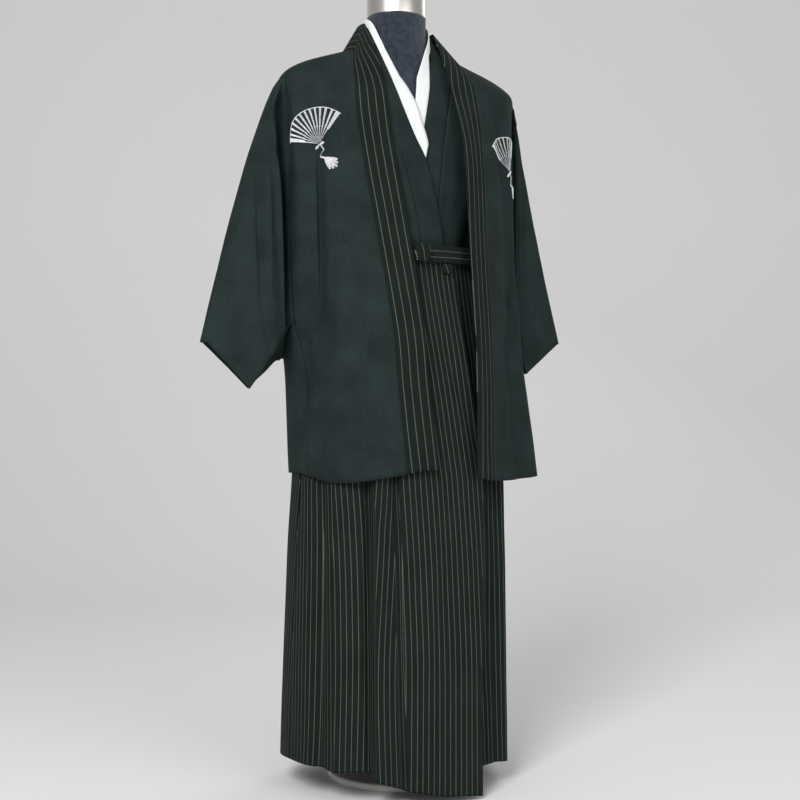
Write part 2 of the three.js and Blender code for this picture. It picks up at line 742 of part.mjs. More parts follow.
// Free edge and sewn edge of the kimono's collar, by level; the right front lies on top
const kimonoRight = [
  { z: 640, seam: 36, free: 86 },
  { z: 880, seam: 10, free: 60 },
  { z: 1008, seam: -13, free: 37 },
  { z: 1173, seam: -50, free: -3 },
  { z: 1215, seam: -66, free: -20 },
  { z: 1263, seam: -80, free: -34 },
  { z: 1310, seam: -90, free: -46 },
  { z: 1352, seam: -95, free: -55 },
  { z: 1380, seam: -92, free: -62 },
];
const kimonoLeft = [
  { z: 640, seam: -36, free: -86 },
  { z: 880, seam: -10, free: -60 },
  { z: 1008, seam: 13, free: -37 },
  { z: 1173, seam: 40, free: -10 },
  { z: 1237, seam: 58, free: 8 },
  { z: 1263, seam: 66, free: 17 },
  { z: 1315, seam: 82, free: 35 },
  { z: 1354, seam: 91, free: 50 },
  { z: 1380, seam: 92, free: 55 },
];
// The white collar: its free edge and its tucked edge.  Up to the neck both are places across at
// one level; round the neck they are angles from the front with their heights
const whiteRightLow = [
  { z: 1175, free: -1, tucked: -19, layer: 4.4 },
  { z: 1190, free: 4, tucked: -25, layer: 4.4 },
  { z: 1204, free: 8, tucked: -31, layer: 4.4 },
  { z: 1240, free: 2, tucked: -43, layer: 4.2 },
  { z: 1277, free: -4, tucked: -50, layer: 3.4 },
  { z: 1310, free: -16, tucked: -56, layer: 0 },
  { z: 1336, free: -27, tucked: -58, layer: -6 },
];
const whiteLeftLow = [
  { z: 1205, free: -22, tucked: 4, layer: -4.2 },
  { z: 1240, free: -13, tucked: 22, layer: -4.2 },
  { z: 1277, free: -4, tucked: 35, layer: -4.6 },
  { z: 1310, free: 5, tucked: 40, layer: -5.8 },
  { z: 1340, free: 13, tucked: 43, layer: -7.6 },
];
const whiteNeck = [
  { angle: -44, z: 1388, tuckedAngle: -62, tuckedRadius: 74, tuckedZ: 1377 },
  { angle: -59, z: 1411, tuckedAngle: -70, tuckedRadius: 75, tuckedZ: 1393 },
  { angle: -76, z: 1438, tuckedAngle: -80, tuckedRadius: 73, tuckedZ: 1410 },
  { angle: -92, z: 1451, tuckedAngle: -92, tuckedRadius: 70, tuckedZ: 1420 },
  { angle: -110, z: 1453, tuckedAngle: -110, tuckedRadius: 68, tuckedZ: 1421 },
  { angle: -128, z: 1453, tuckedAngle: -128, tuckedRadius: 65, tuckedZ: 1421 },
  { angle: -146, z: 1453, tuckedAngle: -146, tuckedRadius: 63, tuckedZ: 1421 },
  { angle: -163, z: 1453, tuckedAngle: -163, tuckedRadius: 61, tuckedZ: 1421 },
  { angle: 180, z: 1453, tuckedAngle: 180, tuckedRadius: 61, tuckedZ: 1421 },
  { angle: 163, z: 1453, tuckedAngle: 163, tuckedRadius: 61, tuckedZ: 1421 },
  { angle: 146, z: 1453, tuckedAngle: 146, tuckedRadius: 63, tuckedZ: 1421 },
  { angle: 128, z: 1453, tuckedAngle: 128, tuckedRadius: 65, tuckedZ: 1421 },
  { angle: 110, z: 1453, tuckedAngle: 110, tuckedRadius: 68, tuckedZ: 1421 },
  { angle: 92, z: 1451, tuckedAngle: 92, tuckedRadius: 70, tuckedZ: 1420 },
  { angle: 72, z: 1440, tuckedAngle: 78, tuckedRadius: 66, tuckedZ: 1413 },
  { angle: 49, z: 1416, tuckedAngle: 60, tuckedRadius: 65, tuckedZ: 1401 },
  { angle: 30, z: 1392, tuckedAngle: 46, tuckedRadius: 64, tuckedZ: 1384 },
];
const neckEase = 5.5;
const napeEase = 0.65;
const kimonoRows = [640, 780, 880, 960, 1008, 1060, 1120, 1175, 1215, 1245, 1277, 1310, 1338, 1358,
  1370, 1380];
const kimonoArmLow = 1120;
const kimonoArmTop = 1338;
const kimonoSideFront = 76;
const kimonoSideBack = 104;
const topLayer = 8;
const crestInward = 0.6;
const crestRise = 0.75;
const kimonoNeck = { width: 70, depth: 67, rise: 1431 };
const kimonoReach = { right: 80, left: 80 };
const whiteWall = 1.4;

function kimonoSurface(level, angle, lift) {
  const p = ringPoint(kimonoLevels, level, angle);
  const out = new THREE.Vector3(p.x / outwardFlat, p.y, 0).normalize();
  const slope = ease(1300, 1375, level);
  p.addScaledVector(out, lift * (1 - crestInward * slope));
  p.z += lift * crestRise * slope;
  return p;
}

// The right front rises over the left one and meets it level at the side and the back
function kimonoLift(side, angle) {
  return side < 0 ? topLayer * ease(-86, -50, angle) * (angle < 90 ? 1 : 0) : 0;
}

function kimonoCell(side, level, angle) {
  const surface = (z, a) => kimonoSurface(z, a, kimonoLift(side, a));
  return { point: surface(level, angle), normal: surfaceNormal(surface, level, angle) };
}

function kimonoSeamAngle(side, level) {
  const table = side < 0 ? kimonoRight : kimonoLeft;
  return angleAt(kimonoLevels, level, readTable(table, 'z', level, 'seam'));
}

const kimonoFrontColumns = 6;
const kimonoBackShares = [0, 0.35, 0.7, 1];

function kimonoAngles(side, level) {
  const seam = kimonoSeamAngle(side, level) * side;
  const angles = [];
  for (let c = 0; c <= kimonoFrontColumns; c += 1) {
    angles.push(mix(seam, kimonoSideFront, c / kimonoFrontColumns));
  }
  angles.push(90);
  for (const share of kimonoBackShares) {
    angles.push(mix(kimonoSideBack, 180, share));
  }
  return angles.map((angle) => angle * side);
}

function buildKimonoBody(name, side) {
  const grid = kimonoRows.map((level) =>
    kimonoAngles(side, level).map((angle) => kimonoCell(side, level, angle)));
  const last = grid[0].length - 1;
  const top = grid.length - 1;
  insetColumn(grid, 0, 1);
  insetColumn(grid, last, last - 1);
  insetRow(grid, top, top - 1);
  const low = kimonoRows.indexOf(kimonoArmLow);
  const high = kimonoRows.indexOf(kimonoArmTop);
  const columns = grid[0].length - 1;
  const keep = (r, c) => {
    const column = side < 0 ? columns - 1 - c : c;
    const atSide = column >= kimonoFrontColumns && column < kimonoFrontColumns + 2;
    return !(atSide && r >= low && r < high);
  };
  return clothSolid(name, orient(grid, side), clothWall, plainCotton(), keep);
}

function ringEdge(ring, angle) {
  const s = Math.sin(angle * toRadians);
  const c = Math.cos(angle * toRadians);
  return new THREE.Vector3(ring.width * s, -ring.depth * c, ring.rise);
}

// A point of the kimono's collar: share 0 on its seam, 1 on its free edge
function kimonoBandPoint(side, level, share) {
  const table = side < 0 ? kimonoRight : kimonoLeft;
  const seam = readTable(table, 'z', level, 'seam');
  const free = readTable(table, 'z', level, 'free');
  const shown = Math.min(level, 1366);
  const angle = angleAt(kimonoLevels, shown, mix(seam, free, share));
  const lift = kimonoLift(side, angle);
  const flat = kimonoSurface(shown, angle, lift);
  const seamAt = kimonoSeamAngle(side, level);
  const start = kimonoSurface(level, seamAt, kimonoLift(side, seamAt));
  const risen = start.clone().lerp(ringEdge(kimonoNeck, side * kimonoReach.left), share);
  const flatShare = ease(1277, 1380, level) ** 1.5;
  return share === 0 ? start : flat.lerp(risen, flatShare);
}

function buildKimonoCollar() {
  const stations = [];
  const shares = [0, 0.34, 0.67, 1];
  const front = (side, level) => {
    const angle = kimonoSeamAngle(side, level);
    stations.push({
      cells: shares.map((share) => ({ point: kimonoBandPoint(side, level, share) })),
      seamNormal: kimonoCell(side, level, angle).normal,
    });
  };
  kimonoRows.forEach((level) => front(-1, level));
  const top = kimonoRows[kimonoRows.length - 1];
  const turn = neckTurn(kimonoAngles(-1, top).slice(1), kimonoAngles(1, top).slice(1), kimonoReach);
  for (const { seam, edge } of turn) {
    const cell = kimonoCell(seam < 0 ? -1 : 1, top, seam);
    const end = ringEdge(kimonoNeck, edge);
    stations.push({
      cells: shares.map((share) => ({ point: cell.point.clone().lerp(end, share) })),
      seamNormal: cell.normal,
    });
  }
  kimonoRows.slice().reverse().forEach((level) => front(1, level));
  return stripSolid('kimono_collar', stations, clothWall, plainCotton());
}

// The white collar shows inside the kimono's collar and tucks under it
function buildWhiteCollar() {
  const across = [0, 0.5, 1];
  const low = ({ z, free, tucked, layer }) => ({
    cells: across.map((share) => {
      const x = mix(tucked, free, share);
      return { point: kimonoSurface(z, angleAt(kimonoLevels, z, x), layer) };
    }),
  });
  const stand = ({ angle, z, tuckedAngle, tuckedRadius, tuckedZ }) => {
    const free = ringPoint(formLevels, z, angle);
    const out = new THREE.Vector3(free.x, free.y, 0).normalize();
    free.addScaledVector(out, mix(neckEase, napeEase, ease(130, 170, Math.abs(angle))));
    const turn = tuckedAngle * toRadians;
    const tucked = new THREE.Vector3(tuckedRadius * Math.sin(turn), -tuckedRadius * Math.cos(turn),
      tuckedZ);
    return { cells: across.map((share) => ({ point: tucked.clone().lerp(free, share) })) };
  };
  const stations = whiteRightLow.map(low)
    .concat(whiteNeck.map(stand))
    .concat(whiteLeftLow.slice().reverse().map(low));
  return stripSolid('white_collar', stations, whiteWall, whiteCotton());
}

// Hakama

const hakamaTop = 1004;
const hakamaHip = 575;
const hakamaFloor = 10;
const hakamaShares = [0, 0.06, 0.14, 0.23, 0.33, 0.43, 0.53, 0.62, 0.71, 0.8, 0.89, 1];
const waistLiftShare = 0.22;

function pleatPlace(line, z) {
  return z > hakamaHip
    ? mix(line.hip, line.waist, (z - hakamaHip) / (hakamaTop - hakamaHip))
    : mix(line.floor, line.hip, (z - hakamaFloor) / (hakamaHip - hakamaFloor));
}

function pleatAngle(line, z, behind) {
  const place = pleatPlace(line, z);
  const angle = Math.abs(place) === 1 ? place * 90 : angleAt(hakamaLevels, z, place, behind);
  return behind && angle < 0 ? angle + 360 : angle;
}

function hakamaPoint(angle, z, lift) {
  const p = ringPoint(hakamaLevels, z, angle);
  const out = new THREE.Vector3(p.x / 2, p.y, 0).normalize();
  const grown = mix(1, waistLiftShare, ease(hakamaHip, hakamaTop, z));
  return p.addScaledVector(out, lift * grown);
}

function buildHakamaPanel(name, lines, behind) {
  const columns = [];
  for (let i = 0; i < lines.length - 1; i += 1) {
    for (let k = 0; k < lines[i].steps; k += 1) {
      columns.push({ from: lines[i], to: lines[i + 1], t: k / lines[i].steps });
    }
  }
  const final = lines[lines.length - 1];
  columns.push({ from: final, to: final, t: 0 });
  const points = hakamaShares.map((share) => columns.map(({ from, to, t }) => {
    const z = mix(mix(from.hem, to.hem, t), hakamaTop, share);
    const angle = mix(pleatAngle(from, z, behind), pleatAngle(to, z, behind), t);
    return hakamaPoint(angle, z, mix(from.lift, to.lift, t));
  }));
  const last = columns.length - 1;
  const sideNormal = (c) => new THREE.Vector3(Math.sign(points[0][c].x), 0, 0);
  const grid = points.map((row, r) => row.map((point, c) => {
    const up = points[Math.min(points.length - 1, r + 1)][c].clone()
      .sub(points[Math.max(0, r - 1)][c]);
    const round = row[Math.min(last, c + 1)].clone().sub(row[Math.max(0, c - 1)]);
    const normal = c === 0 || c === last ? sideNormal(c) : round.cross(up).normalize();
    return { point, normal };
  }));
  insetColumn(grid, 0, 1);
  insetColumn(grid, last, last - 1);
  return clothSolid(name, grid, clothWall, stripedCotton());
}

// Waist tie, knot and tail
const tieLow = 976;
const tieHigh = 1008;
const tieRing = { width: 176, front: 140, back: 124 };
const tieWall = 2.6;
const knotAt = { x: -29, y: -147.4, z: 993 };
const knotHalf = { x: 16, y: 6.5, z: 17 };
const tailHalf = { x: 12, y: 3, z: 9.2 };
const tailAt = { x: 30, y: -139.05, z: 966.4 };

function buildTie() {
  const around = 44;
  const grid = [tieLow, (tieLow + tieHigh) / 2, tieHigh].map((z, r) => {
    const row = [];
    for (let c = 0; c < around; c += 1) {
      const angle = -180 + (360 * c) / around;
      const s = Math.sin(angle * toRadians);
      const k = Math.cos(angle * toRadians);
      const swell = r === 1 ? 1.2 : 0;
      const x = Math.sign(s) * (tieRing.width + swell) * Math.abs(s) ** (2 / roundness);
      const depth = (k > 0 ? tieRing.front : tieRing.back) + swell;
      const y = -Math.sign(k) * depth * Math.abs(k) ** (2 / roundness);
      row.push({
        point: new THREE.Vector3(x, y, z),
        normal: new THREE.Vector3(x / tieRing.width ** 2, y / tieRing.front ** 2, 0).normalize(),
      });
    }
    return row;
  });
  return clothSolid('waist_tie', grid, tieWall, stripedCotton(), () => true, true);
}

// A soft rounded lump, squarer across than a ball
function softLump(name, at, half, lumpMaterial) {
  const ball = new THREE.SphereGeometry(1, 18, 10);
  const source = ball.getAttribute('position');
  const square = 0.62;
  const unique = new Map();
  const positions = [];
  const remap = [];
  for (let i = 0; i < source.count; i += 1) {
    const corner = [source.getX(i), source.getY(i), source.getZ(i)]
      .map((value) => Math.sign(value) * Math.abs(value) ** square);
    const key = corner.map((value) => value.toFixed(4)).join(' ').replace(/-0\.0000/g, '0.0000');
    if (!unique.has(key)) {
      unique.set(key, unique.size);
      positions.push(at.x + half.x * corner[0], at.y + half.y * corner[1], at.z + half.z * corner[2]);
    }
    remap.push(unique.get(key));
  }
  const index = [];
  const faces = ball.getIndex().array;
  for (let i = 0; i < faces.length; i += 3) {
    const [a, b, c] = [remap[faces[i]], remap[faces[i + 1]], remap[faces[i + 2]]];
    if (a !== b && b !== c && c !== a) {
      index.push(a, b, c);
    }
  }
  return solidFrom(name, positions, index, lumpMaterial);
}

const group = new THREE.Group();
group.name = 'yukata_outfit';
group.add(buildForm());
group.add(turned('neck_cap', [[capRadius, formTop + 0.3], [capRadius, capTop - 14],
  [capRadius - 4, capTop - 5], [capRadius - 16, capTop]], 32, steel()));
group.add(turned('stand_pole', [[poleRadius, baseHeight + 0.3], [poleRadius, formFoot - 0.3]], 20,
  paintedMetal()));
group.add(turned('stand_base', [[baseRadius, 0], [baseRadius, baseHeight - 4],
  [baseRadius - 8, baseHeight]], 40, paintedMetal()));
group.add(buildHaoriBody('haori_body_right', -1));
group.add(buildHaoriBody('haori_body_left', 1));
group.add(buildGusset('haori_gusset_right', -1));
group.add(buildGusset('haori_gusset_left', 1));
group.add(buildSleeve('haori_sleeve_right', -1, cuffs.right));
group.add(buildSleeve('haori_sleeve_left', 1, cuffs.left));
group.add(buildHaoriCollar());
group.add(buildKimonoBody('kimono_body_right', -1));
group.add(buildKimonoBody('kimono_body_left', 1));
group.add(buildKimonoCollar());
group.add(buildWhiteCollar());
group.add(buildHakamaPanel('hakama_front', pleatLines, false));
group.add(buildHakamaPanel('hakama_back', backPleatLines, true));
group.add(buildTie());
group.add(softLump('tie_knot', knotAt, knotHalf, stripedCotton()));
group.add(softLump('tie_tail', tailAt, tailHalf, stripedCotton()));

export default group;
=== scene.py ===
import math
import bpy
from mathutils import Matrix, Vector, noise


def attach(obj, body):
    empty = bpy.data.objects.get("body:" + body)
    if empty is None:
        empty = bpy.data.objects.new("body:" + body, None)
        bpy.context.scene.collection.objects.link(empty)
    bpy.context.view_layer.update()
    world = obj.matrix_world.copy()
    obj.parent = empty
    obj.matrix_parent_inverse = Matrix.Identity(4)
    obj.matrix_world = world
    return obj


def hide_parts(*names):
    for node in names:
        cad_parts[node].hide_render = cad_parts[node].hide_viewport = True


# A men's yukata style kimono with haori and hakama on a limbless form.  Sizes are in
# millimetres until a mesh is made; +Z is up and the front faces -Y
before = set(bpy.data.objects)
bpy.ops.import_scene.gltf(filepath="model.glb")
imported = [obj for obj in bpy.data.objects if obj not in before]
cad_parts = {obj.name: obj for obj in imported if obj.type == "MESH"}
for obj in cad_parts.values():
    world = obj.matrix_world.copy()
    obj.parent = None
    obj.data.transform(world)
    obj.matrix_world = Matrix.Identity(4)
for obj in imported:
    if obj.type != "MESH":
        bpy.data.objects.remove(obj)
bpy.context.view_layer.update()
print("frame loaded")

metre = 0.001
roundness = 2.2   # how square the level rings are, 2 being an ellipse
seamInset = 0.3   # how far a cloth's edge is drawn back from a seam


def mix(a, b, t):
    return a + (b - a) * t


def clamp01(t):
    return min(1.0, max(0.0, t))


def ease(a, b, value):
    t = clamp01((value - a) / (b - a))
    return t * t * (3 - 2 * t)


def bell(distance, width):
    return math.exp(-((distance / width) ** 2))


# A smooth curve through a table's rows; the first column is the key
def readTable(rows, value, column):
    last = len(rows) - 1
    i = 0
    while i < last - 1 and value > rows[i + 1][0]:
        i += 1
    a, b = rows[i], rows[i + 1]
    span = b[0] - a[0]
    t = clamp01((value - a[0]) / span)
    before, after = rows[max(0, i - 1)], rows[min(last, i + 2)]
    slopeA = (b[column] - before[column]) / (b[0] - before[0])
    slopeB = (after[column] - a[column]) / (after[0] - a[0])
    t2, t3 = t * t, t * t * t
    return ((2 * t3 - 3 * t2 + 1) * a[column] + (t3 - 2 * t2 + t) * span * slopeA
            + (3 * t2 - 2 * t3) * b[column] + (t3 - t2) * span * slopeB)


# A sine or cosine drawn toward a squarer ring of the given half size
def squared(half, value):
    return math.copysign(half * abs(value) ** (2 / roundness), value)


def sinCos(angle):
    return math.sin(math.radians(angle)), math.cos(math.radians(angle))


# A point of a level ring, degrees from the front, the wearer's left positive
def ringPoint(levels, z, angle):
    s, c = sinCos(angle)
    width = readTable(levels, z, 1 if s < 0 else 2)
    depth = readTable(levels, z, 3 if c > 0 else 4)
    return Vector((squared(width, s), -squared(depth, c), z))


# The level way out of a ring at a point, turned toward the front or back by the flatness
def wayOut(p, flatness=1):
    return Vector((p.x / flatness, p.y, 0)).normalized()


def angleAt(levels, z, x, behind=False):
    width = readTable(levels, z, 1 if x < 0 else 2)
    share = min(1.0, abs(x) / width)
    angle = math.degrees(math.asin(share ** (roundness / 2)))
    return math.copysign(180 - angle if behind else angle, x)


# A soft trough or ridge along a line of (x, z) points: depth outward, width across it
def creaseDepth(creases, x, z):
    total = 0.0
    for x0, z0, x1, z1, depth, width in creases:
        dx, dz = x1 - x0, z1 - z0
        length2 = dx * dx + dz * dz
        t = ((x - x0) * dx + (z - z0) * dz) / length2
        over = max(0.0, -t, t - 1) * math.sqrt(length2)
        if over > 3 * width + 40:
            continue
        inside = clamp01(t)
        across = math.hypot(x - mix(x0, x1, inside), z - mix(z0, z1, inside))
        if across < 3 * width:
            taper = 0.25 + 0.75 * math.sin(math.pi * clamp01(0.04 + 0.92 * inside)) ** 0.6
            total += depth * taper * bell(across, width)
    return total


# The folds that run the length of a garment, as its solid has them
def foldDepth(folds, x, z):
    total = 0.0
    for z0, z1, x0, x1, depth, width, fade in folds:
        t = clamp01((z - z0) / (z1 - z0))
        opens = 1 if z0 < 580 else ease(z0 - fade, z0, z)
        closes = 1 - ease(z1, z1 + fade, z)
        total += depth * opens * closes * bell(x - mix(x0, x1, t), width)
    return total


# Fine slack of hung cotton, long in the fall of the cloth
def slack(p, seed, amount, wide=46, tall=150):
    place = Vector((p.x / wide, p.y / wide, p.z / tall + seed * 7.3))
    finer = noise.noise(place * 2.7 + Vector((3, 1, 8)))
    return amount * noise.noise(place) + 0.4 * amount * finer


def refined(values, steps):
    out = []
    for a, b in zip(values, values[1:]):
        out += [mix(a, b, k / steps) for k in range(steps)]
    return out + [values[-1]]


# ---- materials


def srgb(code):
    parts = [int(code[i:i + 2], 16) / 255 for i in (1, 3, 5)]
    return [p / 12.92 if p <= 0.04045 else ((p + 0.055) / 1.055) ** 2.4 for p in parts] + [1.0]


def addNode(tree, kind, settings=None, links=None):
    node = tree.nodes.new(kind)
    for key, value in (settings or {}).items():
        if key in node.inputs:
            node.inputs[key].default_value = value
        else:
            setattr(node, key, value)
    for key, source in (links or {}).items():
        tree.links.new(source, node.inputs[key])
    return node


def newMaterial(name):
    material = bpy.data.materials.new(name)
    material.use_nodes = True
    tree = material.node_tree
    shader = tree.nodes["Principled BSDF"]
    return material, tree, shader


def setShader(shader, **values):
    names = {"roughness": "Roughness", "metallic": "Metallic",
             "sheen": "Sheen Weight", "sheenRoughness": "Sheen Roughness",
             "sheenTint": "Sheen Tint", "specular": "Specular IOR Level",
             "coat": "Coat Weight", "coatRoughness": "Coat Roughness",
             "anisotropic": "Anisotropic"}
    for key, value in values.items():
        shader.inputs[names[key]].default_value = value


def mathNode(tree, operation, a, b=0.0, c=0.0):
    node = addNode(tree, "ShaderNodeMath", {"operation": operation})
    for socket, value in zip(node.inputs, (a, b, c)):
        if isinstance(value, (int, float)):
            socket.default_value = value
        else:
            tree.links.new(value, socket)
    return node.outputs[0]


def objectPlace(tree):
    return addNode(tree, "ShaderNodeTexCoord").outputs["Object"]


def clothPlace(tree):
    return addNode(tree, "ShaderNodeUVMap", {"uv_map": "clothMillimetres"}).outputs["UV"]


def noiseNode(tree, place, scale, detail, stretch=None):
    if stretch:
        place = addNode(tree, "ShaderNodeMapping", {"Scale": stretch},
                        {"Vector": place}).outputs["Vector"]
    return addNode(tree, "ShaderNodeTexNoise", {"Scale": scale, "Detail": detail},
                   {"Vector": place}).outputs["Fac"]


# Even waves along a coordinate, their pitch in its own unit
def waves(tree, place, pitch):
    return mathNode(tree, "SINE", mathNode(tree, "MULTIPLY", place, 2 * math.pi / pitch))


# A colour that goes from dark to light as an amount goes from low to high
def tones(tree, amount, low, dark, high, light):
    ramp = addNode(tree, "ShaderNodeValToRGB", links={"Fac": amount})
    for element, place, code in zip(ramp.color_ramp.elements, (low, high), (dark, light)):
        element.position = place
        element.color = srgb(code)
    return ramp.outputs["Color"]


def paint(tree, shader, colour):
    tree.links.new(colour, shader.inputs["Base Color"])


def relief(tree, shader, height, strength, distance):
    bump = addNode(tree, "ShaderNodeBump", {"Strength": strength, "Distance": distance},
                   {"Height": height})
    tree.links.new(bump.outputs["Normal"], shader.inputs["Normal"])


# Plain cotton seen from a few metres: two thread sets make a fine crossed grain, slubs give
# faint streaks, and the dye is slightly uneven.  Threads are 0.5 mm in the cloth and are drawn
# 1.6 mm apart, because finer ones don't show
def wovenCotton(name, look):
    material, tree, shader = newMaterial(name)
    coords = clothPlace(tree)
    split = addNode(tree, "ShaderNodeSeparateXYZ", links={"Vector": coords})
    across, along = split.outputs["X"], split.outputs["Y"]
    weave = mathNode(tree, "MULTIPLY", waves(tree, across, look["thread"]),
                     waves(tree, along, look["thread"]))
    slubs = noiseNode(tree, coords, 1.0, 3.0, (0.35, 0.018, 1))
    grain = noiseNode(tree, coords, 1.0, 2.0, (0.3, 0.3, 1))
    dye = noiseNode(tree, objectPlace(tree), 17.0, 3.0)
    tone = 0.5 - (look["slub"] + look["grain"] + look["dye"]) / 2
    for key, cause in (("slub", slubs), ("grain", grain), ("dye", dye), ("weaveTone", weave)):
        tone = mathNode(tree, "MULTIPLY_ADD", cause, look[key], tone)
    colour = tones(tree, tone, 0.0, look["dark"], 1.0, look["light"])
    height = mathNode(tree, "MULTIPLY_ADD", grain, 0.8, mathNode(tree, "MULTIPLY", weave, 0.35))
    if "stripe" in look:
        # Woven pinstripes: light yarn floats in short dashes, so each line reads as dotted
        place = mathNode(tree, "PINGPONG", across, look["stripePitch"] / 2)
        line = mathNode(tree, "LESS_THAN", place, look["stripeWidth"] / 2)
        dash = mathNode(tree, "GREATER_THAN", waves(tree, along, look["dashPitch"]), -0.25)
        dash = mathNode(tree, "MULTIPLY_ADD", dash, 1 - look["dashGap"], look["dashGap"])
        worn = mathNode(tree, "MULTIPLY_ADD", slubs, 0.7, 0.55)
        amount = mathNode(tree, "MULTIPLY", mathNode(tree, "MULTIPLY", line, dash), worn)
        amount = mathNode(tree, "MINIMUM", amount, 1.0)
        blend = addNode(tree, "ShaderNodeMix", {"data_type": "RGBA"},
                        {"Factor": amount, 6: colour})
        blend.inputs[7].default_value = srgb(look["stripe"])
        colour = blend.outputs[2]
        height = mathNode(tree, "MULTIPLY_ADD", amount, 0.6, height)
    paint(tree, shader, colour)
    relief(tree, shader, height, look["bump"], 0.0006)
    setShader(shader, roughness=look["roughness"], sheen=look["sheen"], sheenRoughness=0.45,
              sheenTint=srgb(look["light"]), specular=0.15)
    return material


# Thread pitch and stripes in millimetres; slub, grain and dye are shares of the tone's range
plainCotton = wovenCotton("plain woven cotton, slate green", {
    "dark": "#131a1a", "light": "#283635", "thread": 3.2, "slub": 0.5, "grain": 0.6, "dye": 1.0,
    "weaveTone": 0.05, "bump": 0.5, "roughness": 0.85, "sheen": 0.04})
pinstripe = {
    "dark": "#0a100c", "light": "#1d2621", "thread": 3.2, "slub": 0.4, "grain": 0.5, "dye": 0.6,
    "weaveTone": 0.05, "bump": 0.5, "roughness": 0.88, "sheen": 0.02, "stripe": "#6c736b",
    "stripePitch": 15.4, "stripeWidth": 1.5, "dashPitch": 4.6, "dashGap": 0.2}
stripedCotton = wovenCotton("pinstriped cotton, near black green", pinstripe)
hakamaCotton = wovenCotton("close pinstriped cotton, near black green", {
    **pinstripe, "stripePitch": 11.0, "stripeWidth": 1.2})
whiteCotton = wovenCotton("bleached white cotton", {
    "dark": "#dde1e1", "light": "#f1f4f4", "thread": 3.2, "slub": 0.3, "grain": 0.3, "dye": 0.3,
    "weaveTone": 0.03, "bump": 0.25, "roughness": 0.8, "sheen": 0.2})


# Knitted jersey stretched on a form: fine vertical wales, soft and matt
def knitJersey():
    material, tree, shader = newMaterial("knitted navy jersey")
    split = addNode(tree, "ShaderNodeSeparateXYZ", links={"Vector": clothPlace(tree)})
    wales = waves(tree, split.outputs["X"], 2.6)
    loops = waves(tree, split.outputs["Y"], 2.2)
    fuzz = noiseNode(tree, objectPlace(tree), 90.0, 3.0)
    paint(tree, shader, tones(tree, fuzz, 0.3, "#1f2630", 0.75, "#343d49"))
    relief(tree, shader, mathNode(tree, "MULTIPLY_ADD", loops, 0.4, wales), 0.3, 0.0005)
    setShader(shader, roughness=0.92, sheen=0.3, sheenRoughness=0.5, specular=0.2)
    return material


# Satin steel, turned on a lathe: faint rings stretch the highlight sideways
def satinSteel():
    material, tree, shader = newMaterial("turned satin steel")
    rings = noiseNode(tree, objectPlace(tree), 1.0, 2.0, (6, 6, 1400))
    rough = addNode(tree, "ShaderNodeMapRange", {"To Min": 0.24, "To Max": 0.4}, {"Value": rings})
    tree.links.new(rough.outputs["Result"], shader.inputs["Roughness"])
    shader.inputs["Base Color"].default_value = srgb("#d6d3cd")
    setShader(shader, metallic=1.0, anisotropic=0.4)
    relief(tree, shader, rings, 0.08, 0.0002)
    return material


# Powder coat: an even pale skin with a fine orange peel that breaks up its gloss
def powderCoat():
    material, tree, shader = newMaterial("off white powder coat")
    peel = noiseNode(tree, objectPlace(tree), 420.0, 2.0)
    wear = noiseNode(tree, objectPlace(tree), 9.0, 4.0)
    paint(tree, shader, tones(tree, wear, 0.3, "#dcdcd7", 0.8, "#ebebe8"))
    relief(tree, shader, peel, 0.15, 0.0003)
    setShader(shader, roughness=0.42, coat=0.1, coatRoughness=0.3)
    return material


# Rayon embroidery thread: bright, with the silky glint of satin stitch
def embroideryThread():
    material, tree, shader = newMaterial("white rayon embroidery thread")
    strands = noiseNode(tree, objectPlace(tree), 260.0, 2.0)
    paint(tree, shader, tones(tree, strands, 0.25, "#d9dce4", 0.7, "#ffffff"))
    setShader(shader, roughness=0.42, sheen=0.3, sheenRoughness=0.3, specular=0.5)
    return material


whiteThread = embroideryThread()
print("materials made")


# ---- building


# A mesh object from points in millimetres, with a UV in millimetres at each point
def meshPiece(name, points, faces, uvs, material):
    mesh = bpy.data.meshes.new(name)
    mesh.from_pydata([p * metre for p in points], [], faces)
    mesh.materials.append(material)
    layer = mesh.uv_layers.new(name="clothMillimetres")
    for loop in mesh.loops:
        layer.data[loop.index].uv = uvs[loop.vertex_index]
    mesh.polygons.foreach_set("use_smooth", [True] * len(mesh.polygons))
    mesh.update()
    piece = bpy.data.objects.new(name, mesh)
    bpy.context.scene.collection.objects.link(piece)
    return piece


# The faces between the rows of a grid of points, closed all round if it wraps
def gridFaces(rows, columns, wraps, keep=None):
    faces = []
    for r in range(rows - 1):
        for c in range(columns if wraps else columns - 1):
            if keep is None or keep(r, c):
                a, b = r * columns + c, r * columns + (c + 1) % columns
                faces.append((a, b, b + columns, a + columns))
    return faces


# A cloth from a grid of outer points: its wall grows inward from them
def clothPiece(name, grid, uvs, wall, material, keep=None, wraps=False, outward=None):
    points = [p for row in grid for p in row]
    faces = gridFaces(len(grid), len(grid[0]), wraps, keep)
    towards = outward or (lambda p: Vector((p.x, p.y, 0)))
    vote = 0.0
    for face in faces[::7]:
        a, b, c = (points[i] for i in face[:3])
        vote += (b - a).cross(c - a).dot(towards(a))
    if vote < 0:
        faces = [face[::-1] for face in faces]
    piece = meshPiece(name, points, faces, [uv for row in uvs for uv in row], material)
    wallMaker = piece.modifiers.new("cloth wall", "SOLIDIFY")
    wallMaker.thickness = wall * metre
    wallMaker.offset = -1
    wallMaker.use_even_offset = False
    wallMaker.use_rim = True
    return piece


